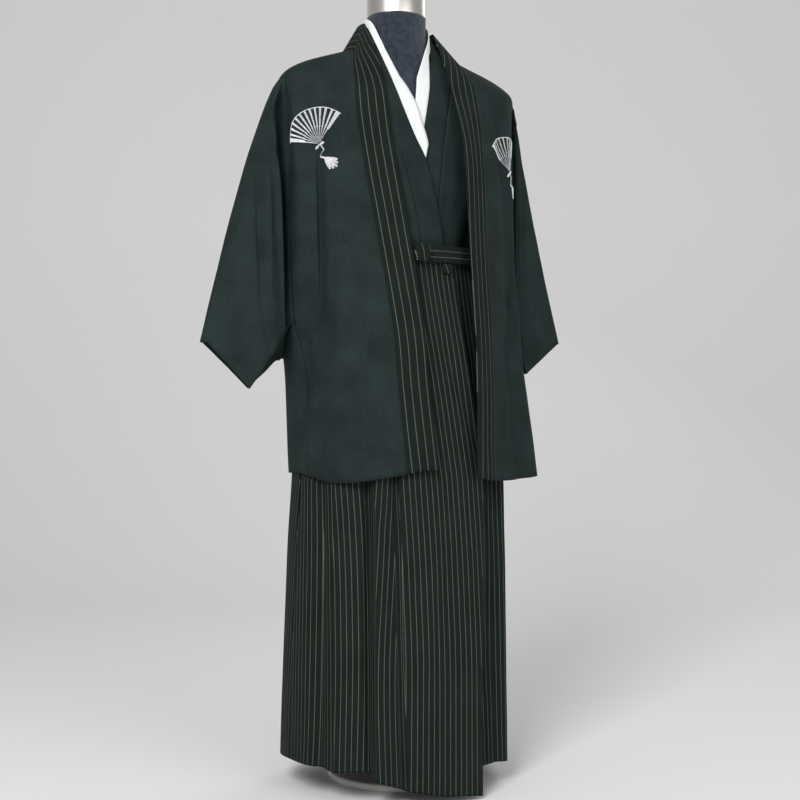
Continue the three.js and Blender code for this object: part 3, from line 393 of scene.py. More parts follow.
# A closed body from rings that go up, each end drawn to a middle point with its own uv
def ringBody(name, grid, uvs, ends, material):
    columns = len(grid[0])
    points = [p for row in grid for p in row]
    flatUvs = [uv for row in uvs for uv in row]
    faces = gridFaces(len(grid), columns, True)
    for first, (middle, uv) in zip((0, len(points) - columns), ends):
        for c in range(columns):
            a, b = first + c, first + (c + 1) % columns
            faces.append((a, b, len(points)) if first else (b, a, len(points)))
        points.append(middle)
        flatUvs.append(uv)
    return meshPiece(name, points, faces, flatUvs, material)


# Running lengths along the rows of a grid, from one of its columns
def rowLengths(row, start=0):
    lengths = [0.0] * len(row)
    for c in range(start + 1, len(row)):
        lengths[c] = lengths[c - 1] + (row[c] - row[c - 1]).length
    for c in range(start - 1, -1, -1):
        lengths[c] = lengths[c + 1] - (row[c + 1] - row[c]).length
    return lengths


# Threads laid by a node tree along the edges of a guide mesh
def threadTree():
    tree = bpy.data.node_groups.new("laid threads", "GeometryNodeTree")

    def newInput(name, kind):
        return tree.interface.new_socket(name, in_out="INPUT", socket_type=kind)

    newInput("Geometry", "NodeSocketGeometry")
    newInput("Thread radius", "NodeSocketFloat").default_value = 0.0004
    newInput("Thread flatness", "NodeSocketFloat").default_value = 0.6
    newInput("Thread", "NodeSocketMaterial")
    tree.interface.new_socket("Geometry", in_out="OUTPUT", socket_type="NodeSocketGeometry")
    source = addNode(tree, "NodeGroupInput").outputs
    curves = addNode(tree, "GeometryNodeMeshToCurve", links={"Mesh": source["Geometry"]})
    profile = addNode(tree, "GeometryNodeCurvePrimitiveCircle", {"Resolution": 5},
                      {"Radius": source["Thread radius"]})
    flatten = addNode(tree, "ShaderNodeCombineXYZ", {"Z": 1.0, "X": 1.0},
                      {"Y": source["Thread flatness"]})
    pressed = addNode(tree, "GeometryNodeTransform", links={
        "Geometry": profile.outputs["Curve"], "Scale": flatten.outputs["Vector"]})
    tubes = addNode(tree, "GeometryNodeCurveToMesh", {"Fill Caps": True}, {
        "Curve": curves.outputs["Curve"], "Profile Curve": pressed.outputs["Geometry"]})
    real = addNode(tree, "GeometryNodeRealizeInstances", links={"Geometry": tubes.outputs["Mesh"]})
    dressed = addNode(tree, "GeometryNodeSetMaterial", links={
        "Geometry": real.outputs["Geometry"], "Material": source["Thread"]})
    addNode(tree, "NodeGroupOutput", links={"Geometry": dressed.outputs["Geometry"]})
    return tree


threadNodes = threadTree()


# Each run is a list of points in millimetres; the result is a plain mesh
def laidThreads(name, runs, radius, flatness, material):
    points, edges = [], []
    for run in runs:
        first = len(points)
        points += [p * metre for p in run]
        edges += [(first + k, first + k + 1) for k in range(len(run) - 1)]
    guide = bpy.data.meshes.new(name + "Guide")
    guide.from_pydata(points, edges, [])
    piece = bpy.data.objects.new(name, guide)
    bpy.context.scene.collection.objects.link(piece)
    maker = piece.modifiers.new("threads", "NODES")
    maker.node_group = threadNodes
    values = {"Thread radius": radius * metre, "Thread flatness": flatness, "Thread": material}
    for item in threadNodes.interface.items_tree:
        if item.in_out == "INPUT" and item.name in values:
            maker[item.identifier] = values[item.name]
    evaluated = piece.evaluated_get(bpy.context.evaluated_depsgraph_get())
    plain = bpy.data.meshes.new_from_object(evaluated)
    piece.modifiers.clear()
    piece.data = plain
    plain.polygons.foreach_set("use_smooth", [True] * len(plain.polygons))
    bpy.data.meshes.remove(guide)
    return piece


def settle(piece, slot, *nodes):
    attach(piece, "root")
    if nodes:
        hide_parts(*nodes)


# ---- dress form, cap and stand

form = {
    "levels": [   # height, right, left, front, back
        (540, 128, 128, 74, 84), (556, 148, 148, 88, 98), (600, 158, 158, 96, 106),
        (680, 160, 160, 98, 108), (780, 150, 150, 94, 102), (870, 136, 136, 92, 92),
        (960, 140, 140, 98, 92), (1060, 155, 155, 104, 97), (1150, 182, 182, 102, 102),
        (1220, 198, 198, 88, 97), (1270, 204, 204, 74, 89), (1308, 200, 200, 63, 79),
        (1332, 178, 178, 53, 69), (1348, 132, 132, 49, 61), (1360, 98, 98, 48, 56),
        (1373, 74, 74, 49, 53), (1390, 61, 61, 51, 53), (1415, 57, 57, 53, 55),
        (1440, 56, 56, 55, 55), (1459, 56, 56, 56, 56)],
    "around": 120, "rowSteps": 6,
    "capProfile": [(0, 1459.3), (54.5, 1459.3), (56, 1460.8), (56, 1497), (55.2, 1501.5),
                   (53, 1506), (48, 1510), (40, 1511.8), (0, 1512)],
    "poleProfile": [(0, 12.3), (15, 12.3), (15, 539.7), (0, 539.7)],
    "baseProfile": [(0, 0), (130.5, 0), (132, 1.5), (132, 8), (130.8, 10.2), (128, 11.4),
                    (124, 12), (21, 12), (20, 12), (0, 12)],
}


def buildForm():
    heights = refined([row[0] for row in form["levels"]], form["rowSteps"])
    turns = [360 * c / form["around"] for c in range(form["around"])]
    grid = [[ringPoint(form["levels"], z, turn - 180) for turn in turns] for z in heights]
    uvs = [[(turn, z) for turn in turns] for z in heights]
    ends = [(Vector((0, 0, z)), (0, z)) for z in (heights[0], heights[-1])]
    return ringBody("formCover", grid, uvs, ends, knitJersey())


# A body turned round the upright axis; its profile starts and ends on the axis
def turnedPiece(name, profile, material, segments=72):
    turns = [2 * math.pi * s / segments for s in range(segments)]
    grid = [[Vector((r * math.cos(a), r * math.sin(a), z)) for a in turns]
            for r, z in profile[1:-1]]
    uvs = [[(r * a, z) for a in turns] for r, z in profile[1:-1]]
    ends = [(Vector((0, 0, z)), (0, z)) for z in (profile[0][1], profile[-1][1])]
    piece = ringBody(name, grid, uvs, ends, material)
    piece.data.set_sharp_from_angle(angle=math.radians(40))
    return piece


settle(buildForm(), "jersey", "dress_form")
settle(turnedPiece("neckCap", form["capProfile"], satinSteel()), "steel", "neck_cap")
coat = powderCoat()
settle(turnedPiece("standPole", form["poleProfile"], coat), "painted_metal", "stand_pole")
settle(turnedPiece("standBase", form["baseProfile"], coat, 120), "painted_metal", "stand_base")
print("form and stand made")


# ---- haori

haori = {
    "wall": 1.6, "bandWall": 2.4,
    "levels": [
        (560, 213, 294, 198, 156), (640, 218, 283, 188, 150), (720, 223, 270, 179, 142),
        (787, 228, 260, 171, 136), (862, 241, 256, 162, 132), (950, 247, 254, 153, 129),
        (1050, 251, 256, 141, 126), (1150, 253, 258, 129, 124), (1240, 254, 260, 112, 118),
        (1300, 251, 262, 98, 104), (1327, 246, 260, 89, 95), (1346, 230, 232, 79, 88),
        (1361, 201, 194, 71, 82), (1372, 167, 160, 65, 79), (1381, 136, 134, 61, 77),
        (1388, 112, 113, 59, 76)],
    # low and high end, place at each, depth outward, width, fade
    "frontFolds": [
        (870, 1240, -222, -214, -9, 17, 70), (560, 880, -196, -208, -6, 16, 60),
        (560, 860, -150, -172, 5, 26, 90), (900, 1230, -178, -176, 5, 24, 80),
        (560, 1200, 60, 66, 15, 42, 120), (760, 1230, 196, 190, -8, 18, 80),
        (560, 820, 190, 176, -9, 22, 70), (560, 900, 244, 226, 6, 20, 80)],
    "backFolds": [
        (560, 1220, -168, -178, -8, 20, 110), (560, 1080, -96, -104, 7, 26, 120),
        (560, 1180, 118, 112, -8, 24, 110), (560, 1240, 204, 188, 6, 24, 110)],
    # x and z of each end, depth outward, width across
    "frontCreases": [
        (-249, 1300, -246, 890, -12, 5), (-208, 1170, -207, 890, -15, 4.5),
        (-221, 1160, -221, 930, 3, 9), (-209, 885, -233, 600, -10, 8),
        (-245, 860, -240, 560, -8, 9),
        (-225, 768, -115, 757, 2, 5), (-122, 786, -100, 768, -3, 6),
        (-112, 655, -92, 612, -3.5, 8), (-170, 1270, -192, 1210, -3, 9),
        (246, 1290, 244, 900, -10, 9), (214, 1120, 208, 880, -4, 9),
        (150, 1010, 205, 870, -3, 11), (140, 800, 200, 772, 2, 7), (168, 700, 174, 600, -3, 10)],
    "backCreases": [
        (-232, 1270, -236, 890, -9, 10), (234, 1260, 236, 900, -8, 11),
        (-150, 1120, -166, 860, -4, 12), (-30, 1280, -46, 1060, -3, 14),
        (66, 1250, 84, 980, 3.5, 13), (150, 1090, 128, 820, -4.5, 12),
        (-200, 780, 200, 771, 1.6, 6), (-60, 720, -72, 600, -3, 12)],
    # height, angle and depth of the fold down each side, at its low and high end
    "sideFold": {"low": (600, 89, 5), "high": (822, 75, 12), "spread": 6, "fade": 36},
    "bandRight": [   # height, seam, free edge
        (560, -80, -20), (747, -89, -29), (838, -92, -32), (941, -104, -42), (1060, -119, -56),
        (1157, -131, -69), (1262, -137, -77), (1327, -132, -73), (1361, -124, -70),
        (1388, -108, -68)],
    "bandLeft": [
        (560, 97, 50), (747, 114, 64), (844, 120, 70), (1006, 120, 67), (1172, 126, 68),
        (1262, 128, 70), (1327, 126, 70), (1361, 121, 71), (1388, 109, 68)],
    "hem": [   # angle from the front, height
        (-180, 588), (-120, 583), (-85, 585), (-64, 572), (-48, 574), (-28, 584), (-4, 596),
        (8, 580), (24, 571), (70, 576), (120, 583), (180, 588)],
    "rows": [580, 625, 675, 730, 787, 825, 862, 910, 960, 1020, 1080, 1140, 1195, 1245, 1290,
             1327, 1346, 1361, 1372, 1381, 1388],
    "armholeLow": 862, "armholeTop": 1327, "frontArmShare": 0.985, "backArmShare": 0.968,
    "backDrop": 62, "leanStart": 1100, "leanFull": 1350, "leanShare": 0.04, "sagTop": 740,
    "backShares": [0, 0.22, 0.44, 0.66, 0.84, 1], "frontColumns": 8, "gapColumns": 3,
    "rowSteps": 5, "columnSteps": 5, "slack": 1.1, "shoulderCalm": 0.7,
    # the cosine from which folds and creases are whole, and how flat the way they go is
    "foldsWhole": 0.3, "creasesWhole": 0.2, "foldFlatness": 3, "creaseFlatness": 9,
    # where the band leaves the cloth of the front and stands up to the neck
    "bandFlatTo": 1370, "bandStands": (1361, 1372), "bandLift": 1.5,
    "neck": {"width": 78, "depth": 76, "rise": 1439, "backRise": 1436, "start": 1262,
             "right": 82, "left": 84, "step": 1.2, "perRise": 0.1},
    "firstStripe": 7.5,   # how far the band's stripes are shifted from its seam
}


def sideFoldDepth(level, angle):
    fold = haori["sideFold"]
    (low, lowAngle, lowDepth), (high, highAngle, highDepth) = fold["low"], fold["high"]
    t = (level - low) / (high - low)
    depth = mix(lowDepth, highDepth, clamp01(t)) * (1 - ease(high, high + fold["fade"], level))
    return depth * bell(abs(angle) - mix(lowAngle, highAngle, t), fold["spread"])


# A place on the haori's outside, by its level before the hem is let down and its angle
def haoriSurface(level, angle):
    h = haori
    p = ringPoint(h["levels"], level, angle)
    c = sinCos(angle)[1]
    face = "front" if c > 0 else "back"
    push = foldDepth(h[face + "Folds"], p.x, level) * ease(0, h["foldsWhole"], abs(c))
    push += slack(p, 1, h["slack"]) * (1 - h["shoulderCalm"] * ease(1200, 1340, level))
    press = creaseDepth(h[face + "Creases"], p.x, level) * ease(0, h["creasesWhole"], abs(c))
    p += wayOut(p, h["foldFlatness"]) * push + wayOut(p, h["creaseFlatness"]) * press
    p.x -= math.copysign(sideFoldDepth(level, angle), p.x)
    lean = h["leanShare"] if p.x < 0 else h["leanShare"] / 4
    p.z += lean * p.x * ease(h["leanStart"], h["leanFull"], level)
    sag = readTable(h["hem"], angle, 1) - h["rows"][0]
    p.z += sag * (1 - ease(h["rows"][0], h["sagTop"], level))
    return p


def sideAngle(share):
    return math.degrees(math.asin(share ** (roundness / 2)))


frontArmAngle = sideAngle(haori["frontArmShare"])
backArmAngle = 180 - sideAngle(haori["backArmShare"])


# The rows dip toward the back of the armhole
def haoriLevel(level, angle):
    h = haori
    toBack = ease(frontArmAngle, backArmAngle, abs(angle))
    dip = h["backDrop"] * toBack * bell(level - h["armholeLow"], 130)
    low = ease(h["rows"][0], h["armholeLow"], level) if level < h["armholeLow"] else 1
    high = 1 - ease(h["armholeLow"], 1100, level)
    return level - dip * low * high


def haoriPoint(level, angle):
    return haoriSurface(haoriLevel(level, angle), angle)


def bandTable(side):
    return haori["bandRight"] if side < 0 else haori["bandLeft"]


def seamAngle(side, level):
    return angleAt(haori["levels"], level, readTable(bandTable(side), level, 1))


def bodyAngles(side, level):
    h = haori
    seam = abs(seamAngle(side, level))
    angles = refined([seam, frontArmAngle], h["frontColumns"])
    angles += refined([frontArmAngle, backArmAngle], h["gapColumns"])[1:-1]
    angles += [mix(backArmAngle, 180, share) for share in h["backShares"]]
    return [angle * side for angle in angles]


haoriRows = refined(haori["rows"], haori["rowSteps"])
gapFirst = haori["frontColumns"] * haori["columnSteps"]
gapLast = gapFirst + haori["gapColumns"] * haori["columnSteps"]
armLowRow = haori["rows"].index(haori["armholeLow"]) * haori["rowSteps"]
armTopRow = haori["rows"].index(haori["armholeTop"]) * haori["rowSteps"]


def haoriGrid(side, firstColumn, lastColumn, firstRow, lastRow):
    grid, uvs = [], []
    for level in haoriRows[firstRow:lastRow + 1]:
        angles = refined(bodyAngles(side, level), haori["columnSteps"])[firstColumn:lastColumn + 1]
        row = [haoriPoint(level, angle) for angle in angles]
        lengths = rowLengths(row)
        grid.append(row)
        uvs.append([(length, level) for length in lengths])
    return grid, uvs


# These draw a grid's edge back so that a seam's two sides stay apart
def insetColumn(grid, column, toward, last=None):
    for row in grid[:last]:
        row[column] = row[column] + (row[toward] - row[column]).normalized() * seamInset


def insetRow(grid, r, toward, first=0, last=None):
    for c in range(first, len(grid[r]) if last is None else last + 1):
        step = (grid[toward][c] - grid[r][c]).normalized() * seamInset
        grid[r][c] = grid[r][c] + step


def buildHaoriBody(name, side):
    columns = len(refined(bodyAngles(side, 580), haori["columnSteps"])) - 1
    grid, uvs = haoriGrid(side, 0, columns, 0, len(haoriRows) - 1)
    insetColumn(grid, 0, 1)
    insetColumn(grid, columns, columns - 1)
    insetColumn(grid, gapFirst, gapFirst - 1, armTopRow)
    insetColumn(grid, gapLast, gapLast + 1, armTopRow)
    insetRow(grid, armTopRow, armTopRow + 1, gapFirst, gapLast)
    insetRow(grid, len(grid) - 1, len(grid) - 2)
    keep = lambda r, c: not (gapFirst <= c < gapLast and r < armTopRow)
    return clothPiece(name, grid, uvs, haori["wall"], plainCotton, keep)


def buildGusset(name, side):
    grid, uvs = haoriGrid(side, gapFirst, gapLast, 0, armLowRow)
    insetRow(grid, len(grid) - 1, len(grid) - 2)
    return clothPiece(name, grid, uvs, haori["wall"], plainCotton)


sleeve = {
    "right": {"front": (-322, -30, 742), "fold": (-394, 8, 826), "back": (-302, 26, 744),
              "bow": 15, "swell": 26},
    "left": {"front": (284, -34, 774), "fold": (383, 4, 838), "back": (294, 30, 778),
             "bow": -4, "swell": 6},
    "shares": [0, 0.035, 0.09, 0.18, 0.3, 0.44, 0.58, 0.72, 0.86, 1],
    "shareSteps": 8, "backBow": 30, "foldTurn": 11, "foldOut": 0.8,
    # the bow comes early along the sleeve and is least low down; the swell has its ridge midway
    "bowEarly": 0.7, "lowBow": 0.25, "ridgeStart": 0.12, "ridgeRise": 0.86,
    # the kick outward just past the seam, less toward the top
    "kick": {"out": 7, "full": 0.035, "gone": 0.5, "topLoss": 0.7},
    # the crease beside the armhole: depth, its share behind, and place and width as shares
    "seamCrease": 22, "backCrease": 0.45, "creaseAt": 0.05, "creaseWidth": 0.035,
    "creaseTop": 0.86, "creaseStart": 0.02,
    # finer creases and slack start past the seam; their widths are on this length of sleeve
    "fineStart": 0.012, "fineLength": 220, "slack": 1.3, "slackFull": 0.2,
    "slackWide": 34, "slackTall": 90,
    # along the sleeve from and to, up the sleeve from and to, depth outward, width in millimetres
    "rightCreases": [
        (0.28, 0.53, 0.95, 0.35, -9, 10), (0.20, 0.36, 0.90, 0.30, 6, 12),
        (0.195, 0.05, 0.91, 0.62, -5, 5), (0.018, 0.019, 0.98, 0.05, -20, 3.6),
        (0.115, 0.125, 0.97, 0.10, 9, 9), (0.80, 0.92, 0.70, 0.25, -4, 12),
        (0.62, 0.74, 0.90, 0.60, 3, 14), (0.20, 0.50, -0.90, -0.30, -7, 12),
        (0.30, 0.62, -0.92, -0.40, 5, 14), (0.78, 0.90, -0.60, -0.20, -3, 12)],
    "leftCreases": [
        (0.25, 0.50, 0.92, 0.40, -6, 11), (0.14, 0.30, 0.80, 0.35, 4, 12),
        (0.70, 0.85, 0.75, 0.30, -3.5, 13), (0.25, 0.55, -0.90, -0.35, -6, 13),
        (0.15, 0.35, -0.85, -0.40, 4, 14)],
}


# The open edge of the armhole, from its low front corner up, over and back round below
def armholeLoop(side):
    rise = armTopRow - armLowRow
    across = gapLast - gapFirst
    ways = [(r, gapFirst) for r in range(armLowRow, armTopRow)]
    ways += [(armTopRow, c) for c in range(gapFirst, gapLast + 1)]
    ways += [(r, gapLast) for r in range(armTopRow - 1, armLowRow - 1, -1)]
    ways += [(armLowRow, c) for c in range(gapLast - 1, gapFirst, -1)]
    loop = []
    for r, c in ways:
        angles = refined(bodyAngles(side, haoriRows[r]), haori["columnSteps"])
        loop.append(haoriPoint(haoriRows[r], angles[c]))
    return loop, rise, across


def cuffPoint(corners, i, rise, across, total):
    front, fold, back = (Vector(corners[key]) for key in ("front", "fold", "back"))
    turn = sleeve["foldTurn"]
    if i <= rise:
        return front.lerp(fold, i / rise) + Vector((0, -turn * i / rise, 0))
    if i < rise + across:
        t = (i - rise) / across
        out = math.copysign(turn * sleeve["foldOut"] * math.sin(math.pi * t), fold.x)
        return fold + Vector((out, mix(-turn, turn, t), 0))
    if i <= 2 * rise + across:
        t = (i - rise - across) / rise
        return (fold + Vector((0, turn * (1 - t), 0))).lerp(back, t)
    t = (i - 2 * rise - across) / (total - 2 * rise - across)
    return back.lerp(front, t)


def buildSleeve(name, side, corners, creases):
    loop, rise, across = armholeLoop(side)
    total = len(loop)
    cuff = [cuffPoint(corners, i, rise, across, total) for i in range(total)]
    shares = refined(sleeve["shares"], sleeve["shareSteps"])

    # t is the share of the way from armhole to cuff, and top the share of the way up
    def place(t, i):
        v, kick = sleeve, sleeve["kick"]
        p = loop[i].lerp(cuff[i], t)
        top = i / rise if i <= rise else clamp01(1 - (i - rise - across) / rise)
        onFront = i <= rise + across / 2
        bow = math.sin(math.pi * min(1, t ** v["bowEarly"])) if t > 0 else 0
        p.x += side * corners["bow"] * bow * mix(v["lowBow"], 1, clamp01(top))
        p.x += side * kick["out"] * (ease(0, kick["full"], t)
                                     * (1 - ease(kick["full"], kick["gone"], t))
                                     * (1 - kick["topLoss"] * clamp01(top)))
        if i > 2 * rise + across:
            return p
        ridge = math.sin(math.pi * clamp01(v["ridgeStart"] + v["ridgeRise"] * top))
        crease = v["seamCrease"] * bell(t - v["creaseAt"], v["creaseWidth"])
        crease *= 1 - ease(v["creaseTop"], 1, top)
        crease *= (1 if onFront else -v["backCrease"]) * ease(0, v["creaseStart"], t)
        p.y += (-corners["swell"] if onFront else v["backBow"]) * bow * ridge + crease
        fine = 0.0
        for t0, t1, top0, top1, depth, width in creases:
            if (top0 + top1) * (1 if onFront else -1) < 0:
                continue
            s = clamp01((top - abs(top0)) / (abs(top1) - abs(top0)))
            over = bell((t - mix(t0, t1, s)) * v["fineLength"], width)
            fine += depth * over * math.sin(math.pi * clamp01(0.06 + 0.88 * s))
        fine += (slack(p, 5 + side, v["slack"], v["slackWide"], v["slackTall"])
                 * ease(0, v["slackFull"], t))
        p.y += fine * (-1 if onFront else 1) * ease(0, v["fineStart"], t)
        return p

    grid, uvs = [], []
    for t in shares:
        row = [place(t, i) for i in range(total)]
        grid.append(row)
        uvs.append([(length, t * 330) for length in rowLengths(row)])
    centre = sum((p for row in grid for p in row), Vector()) / (len(grid) * total)
    return clothPiece(name, grid, uvs, haori["wall"], plainCotton, wraps=True,
                      outward=lambda p: Vector((0, p.y - centre.y, 0)))


def neckEdge(angle):
    n = haori["neck"]
    s, c = sinCos(angle)
    return Vector((n["width"] * s, -n["depth"] * c, mix(n["rise"], n["backRise"], max(0, -c))))


def bandPoint(side, level, share):
    n = haori["neck"]
    table = bandTable(side)
    top = haori["rows"][-1]
    seam, free = readTable(table, level, 1), readTable(table, level, 2)
    lift = ease(n["start"], top, level)
    back = n["right"] if side < 0 else n["left"]
    end = neckEdge(side * (back - n["perRise"] * (top - level)))
    shown = min(level, haori["bandFlatTo"])
    flat = haoriSurface(shown, angleAt(haori["levels"], shown, mix(seam, free, share)))
    start = haoriSurface(level, seamAngle(side, level))
    risen = start.lerp(end, share)
    if share == 0:
        return start
    held = flat.lerp(risen, ease(*haori["bandStands"], level))
    return held.lerp(risen, lift ** haori["bandLift"])


# Stations round one half of a neck, from its front seam to the middle of the back; the
# left half's run the other way and leave the middle to the right half
def neckStations(side, angles, edge, steps, across, seamPoint, edgePoint):
    ring = [(angles[0], side * edge["reach"])]
    ring += [(angle, side * max(abs(angle), edge["reach"] + edge["step"] * (k + 1)))
             for k, angle in enumerate(angles[1:])]
    turn = []
    for (s0, e0), (s1, e1) in zip(ring, ring[1:]):
        for k in range(1, steps + 1):
            seam, end = seamPoint(mix(s0, s1, k / steps)), edgePoint(mix(e0, e1, k / steps))
            turn.append([seam.lerp(end, share) for share in across])
    return turn if side < 0 else turn[:-1][::-1]


# A band's cloth lengths, across each of its stations and along the middle of them
def bandUvs(stations, offset=0.0):
    middle = len(stations[0]) // 2
    uvs, run = [], 0.0
    for k, station in enumerate(stations):
        if k:
            run += (station[middle] - stations[k - 1][middle]).length
        uvs.append([(length + offset, run) for length in rowLengths(station)])
    return uvs


def buildHaoriCollar():
    n = haori["neck"]
    across = [k / 16 for k in range(17)]
    top = haori["rows"][-1]
    stations = [[bandPoint(-1, level, share) for share in across] for level in haoriRows]
    for side in (-1, 1):
        edge = {"reach": n["right"] if side < 0 else n["left"], "step": n["step"]}
        stations += neckStations(side, bodyAngles(side, top), edge, haori["columnSteps"], across,
                                 lambda angle: haoriPoint(top, angle), neckEdge)
    stations += [[bandPoint(1, level, share) for share in across] for level in haoriRows[::-1]]
    return clothPiece("haoriCollar", stations, bandUvs(stations, haori["firstStripe"]),
                      haori["bandWall"], stripedCotton)


settle(buildHaoriBody("haoriBodyRight", -1), "plain_cotton", "haori_body_right")
settle(buildHaoriBody("haoriBodyLeft", 1), "plain_cotton", "haori_body_left")
settle(buildGusset("haoriGussetRight", -1), "plain_cotton", "haori_gusset_right")
settle(buildGusset("haoriGussetLeft", 1), "plain_cotton", "haori_gusset_left")
settle(buildSleeve("haoriSleeveRight", -1, sleeve["right"], sleeve["rightCreases"]),
       "plain_cotton", "haori_sleeve_right")
settle(buildSleeve("haoriSleeveLeft", 1, sleeve["left"], sleeve["leftCreases"]),
       "plain_cotton", "haori_sleeve_left")
settle(buildHaoriCollar(), "striped_cotton", "haori_collar")
print("haori made")


# ---- kimono

kimono = {
    "wall": 1.6, "whiteWall": 1.4,
    "levels": [
        (640, 174, 174, 112, 122), (780, 162, 162, 106, 114), (870, 148, 148, 104, 104),
        (960, 151, 151, 110, 104), (1060, 167, 167, 115, 108), (1150, 194, 194, 112, 113),
        (1220, 210, 210, 98, 108), (1270, 216, 216, 84, 100), (1310, 213, 213, 73, 90),
        (1340, 198, 198, 62, 80), (1358, 166, 166, 55, 71), (1370, 130, 130, 51, 66),
        (1380, 102, 102, 49, 63)],
    "right": [   # height, seam, free edge
        (640, 36, 86), (880, 10, 60), (1008, -13, 37), (1173, -50, -3), (1215, -66, -20),
        (1263, -80, -34), (1310, -90, -46), (1352, -95, -55), (1380, -92, -62)],
    "left": [
        (640, -36, -86), (880, -10, -60), (1008, 13, -37), (1173, 40, -10), (1237, 58, 8),
        (1263, 66, 17), (1315, 82, 35), (1354, 91, 50), (1380, 92, 55)],
    "rows": [640, 780, 880, 960, 1008, 1060, 1120, 1175, 1215, 1245, 1277, 1310, 1338, 1358,
             1370, 1380],
    "armLow": 1120, "armTop": 1338, "sideFront": 76, "sideBack": 104, "frontColumns": 6,
    "backShares": [0, 0.35, 0.7, 1], "topLayer": 8, "crestInward": 0.6, "crestRise": 0.75,
    "neck": {"width": 70, "depth": 67, "rise": 1431, "reach": 80, "step": 1.2},
    "rowSteps": 5, "columnSteps": 6, "slack": 0.8, "slackEnds": (1250, 1330),
    "flatness": 3, "shoulder": (1300, 1375), "bandFlatTo": 1366, "bandStands": (1277, 1380),
    "creases": [
        (-30, 900, -96, 1150, -3, 12), (30, 905, 104, 1130, 3, 14), (70, 930, 128, 1090, -3.5, 12),
        (-70, 930, -130, 1080, 2.5, 12), (-20, 1010, -70, 1230, 2.5, 14),
        (40, 1020, 60, 1250, -2.5, 12), (-52, 1052, 18, 1040, -2.5, 6),
        (-40, 1030, 24, 1024, 1.8, 6)],
    "whiteRight": [   # height, free edge, tucked edge, layer
        (1175, -1, -19, 4.4), (1190, 4, -25, 4.4), (1204, 8, -31, 4.4), (1240, 2, -43, 4.2),
        (1277, -4, -50, 3.4), (1310, -16, -56, 0), (1336, -27, -58, -6)],
    "whiteLeft": [
        (1205, -22, 4, -4.2), (1240, -13, 22, -4.2), (1277, -4, 35, -4.6), (1310, 5, 40, -5.8),
        (1340, 13, 43, -7.6)],
    # angle and height of the free edge; angle, radius and height of the tucked one
    "whiteNeck": [
        (-44, 1388, -62, 74, 1377), (-59, 1411, -70, 75, 1393), (-76, 1438, -80, 73, 1410),
        (-92, 1451, -92, 70, 1420), (-110, 1453, -110, 68, 1421), (-128, 1453, -128, 65, 1421),
        (-146, 1453, -146, 63, 1421), (-163, 1453, -163, 61, 1421), (-180, 1453, -180, 61, 1421),
        (-197, 1453, -197, 61, 1421), (-214, 1453, -214, 63, 1421), (-232, 1453, -232, 65, 1421),
        (-250, 1453, -250, 68, 1421), (-268, 1451, -268, 70, 1420), (-288, 1440, -282, 66, 1413),
        (-311, 1416, -300, 65, 1401), (-330, 1392, -314, 64, 1384)],
    "neckEase": 5.5, "napeEase": 0.65,
}


def kimonoSurface(level, angle, lift):
    k = kimono
    p = ringPoint(k["levels"], level, angle)
    out = wayOut(p, k["flatness"])
    slope = ease(*k["shoulder"], level)
    p += out * lift * (1 - k["crestInward"] * slope)
    p.z += lift * k["crestRise"] * slope
    if sinCos(angle)[1] > 0:
        p += out * creaseDepth(k["creases"], p.x, level)
    p += out * slack(p, 3, k["slack"], 40, 110) * (1 - ease(*k["slackEnds"], level))
    return p


# The right front rises over the left one
def kimonoLift(side, angle):
    return kimono["topLayer"] * ease(-86, -50, angle) if side < 0 and angle < 90 else 0


def kimonoTable(side):
    return kimono["right"] if side < 0 else kimono["left"]


def kimonoSeamAngle(side, level):
    return angleAt(kimono["levels"], level, readTable(kimonoTable(side), level, 1))


def kimonoAngles(side, level):
    k = kimono
    seam = kimonoSeamAngle(side, level) * side
    angles = refined([seam, k["sideFront"]], k["frontColumns"]) + [90]
    angles += [mix(k["sideBack"], 180, share) for share in k["backShares"]]
    return [angle * side for angle in angles]


def kimonoPoint(side, level, angle):
    return kimonoSurface(level, angle, kimonoLift(side, angle))


kimonoRows = refined(kimono["rows"], kimono["rowSteps"])


def buildKimonoBody(name, side):
    k = kimono
    grid, uvs = [], []
    for level in kimonoRows:
        row = [kimonoPoint(side, level, angle)
               for angle in refined(kimonoAngles(side, level), k["columnSteps"])]
        grid.append(row)
        uvs.append([(length, level) for length in rowLengths(row)])
    last = len(grid[0]) - 1
    insetColumn(grid, 0, 1)
    insetColumn(grid, last, last - 1)
    insetRow(grid, len(grid) - 1, len(grid) - 2)
    low, high = (k["rows"].index(k[key]) * k["rowSteps"] for key in ("armLow", "armTop"))
    first = k["frontColumns"] * k["columnSteps"]
    keep = lambda r, c: not (first <= c < first + 2 * k["columnSteps"] and low <= r < high)
    return clothPiece(name, grid, uvs, k["wall"], plainCotton, keep)


def kimonoNeck(angle):
    n = kimono["neck"]
    s, c = sinCos(angle)
    return Vector((n["width"] * s, -n["depth"] * c, n["rise"]))


def kimonoBandPoint(side, level, share):
    table = kimonoTable(side)
    seam, free = readTable(table, level, 1), readTable(table, level, 2)
    seamAt = kimonoSeamAngle(side, level)
    start = kimonoPoint(side, level, seamAt)
    if share == 0:
        return start
    shown = min(level, kimono["bandFlatTo"])
    angle = angleAt(kimono["levels"], shown, mix(seam, free, share))
    flat = kimonoPoint(side, shown, angle)
    risen = start.lerp(kimonoNeck(side * kimono["neck"]["reach"]), share)
    return flat.lerp(risen, ease(*kimono["bandStands"], level) ** 1.5)


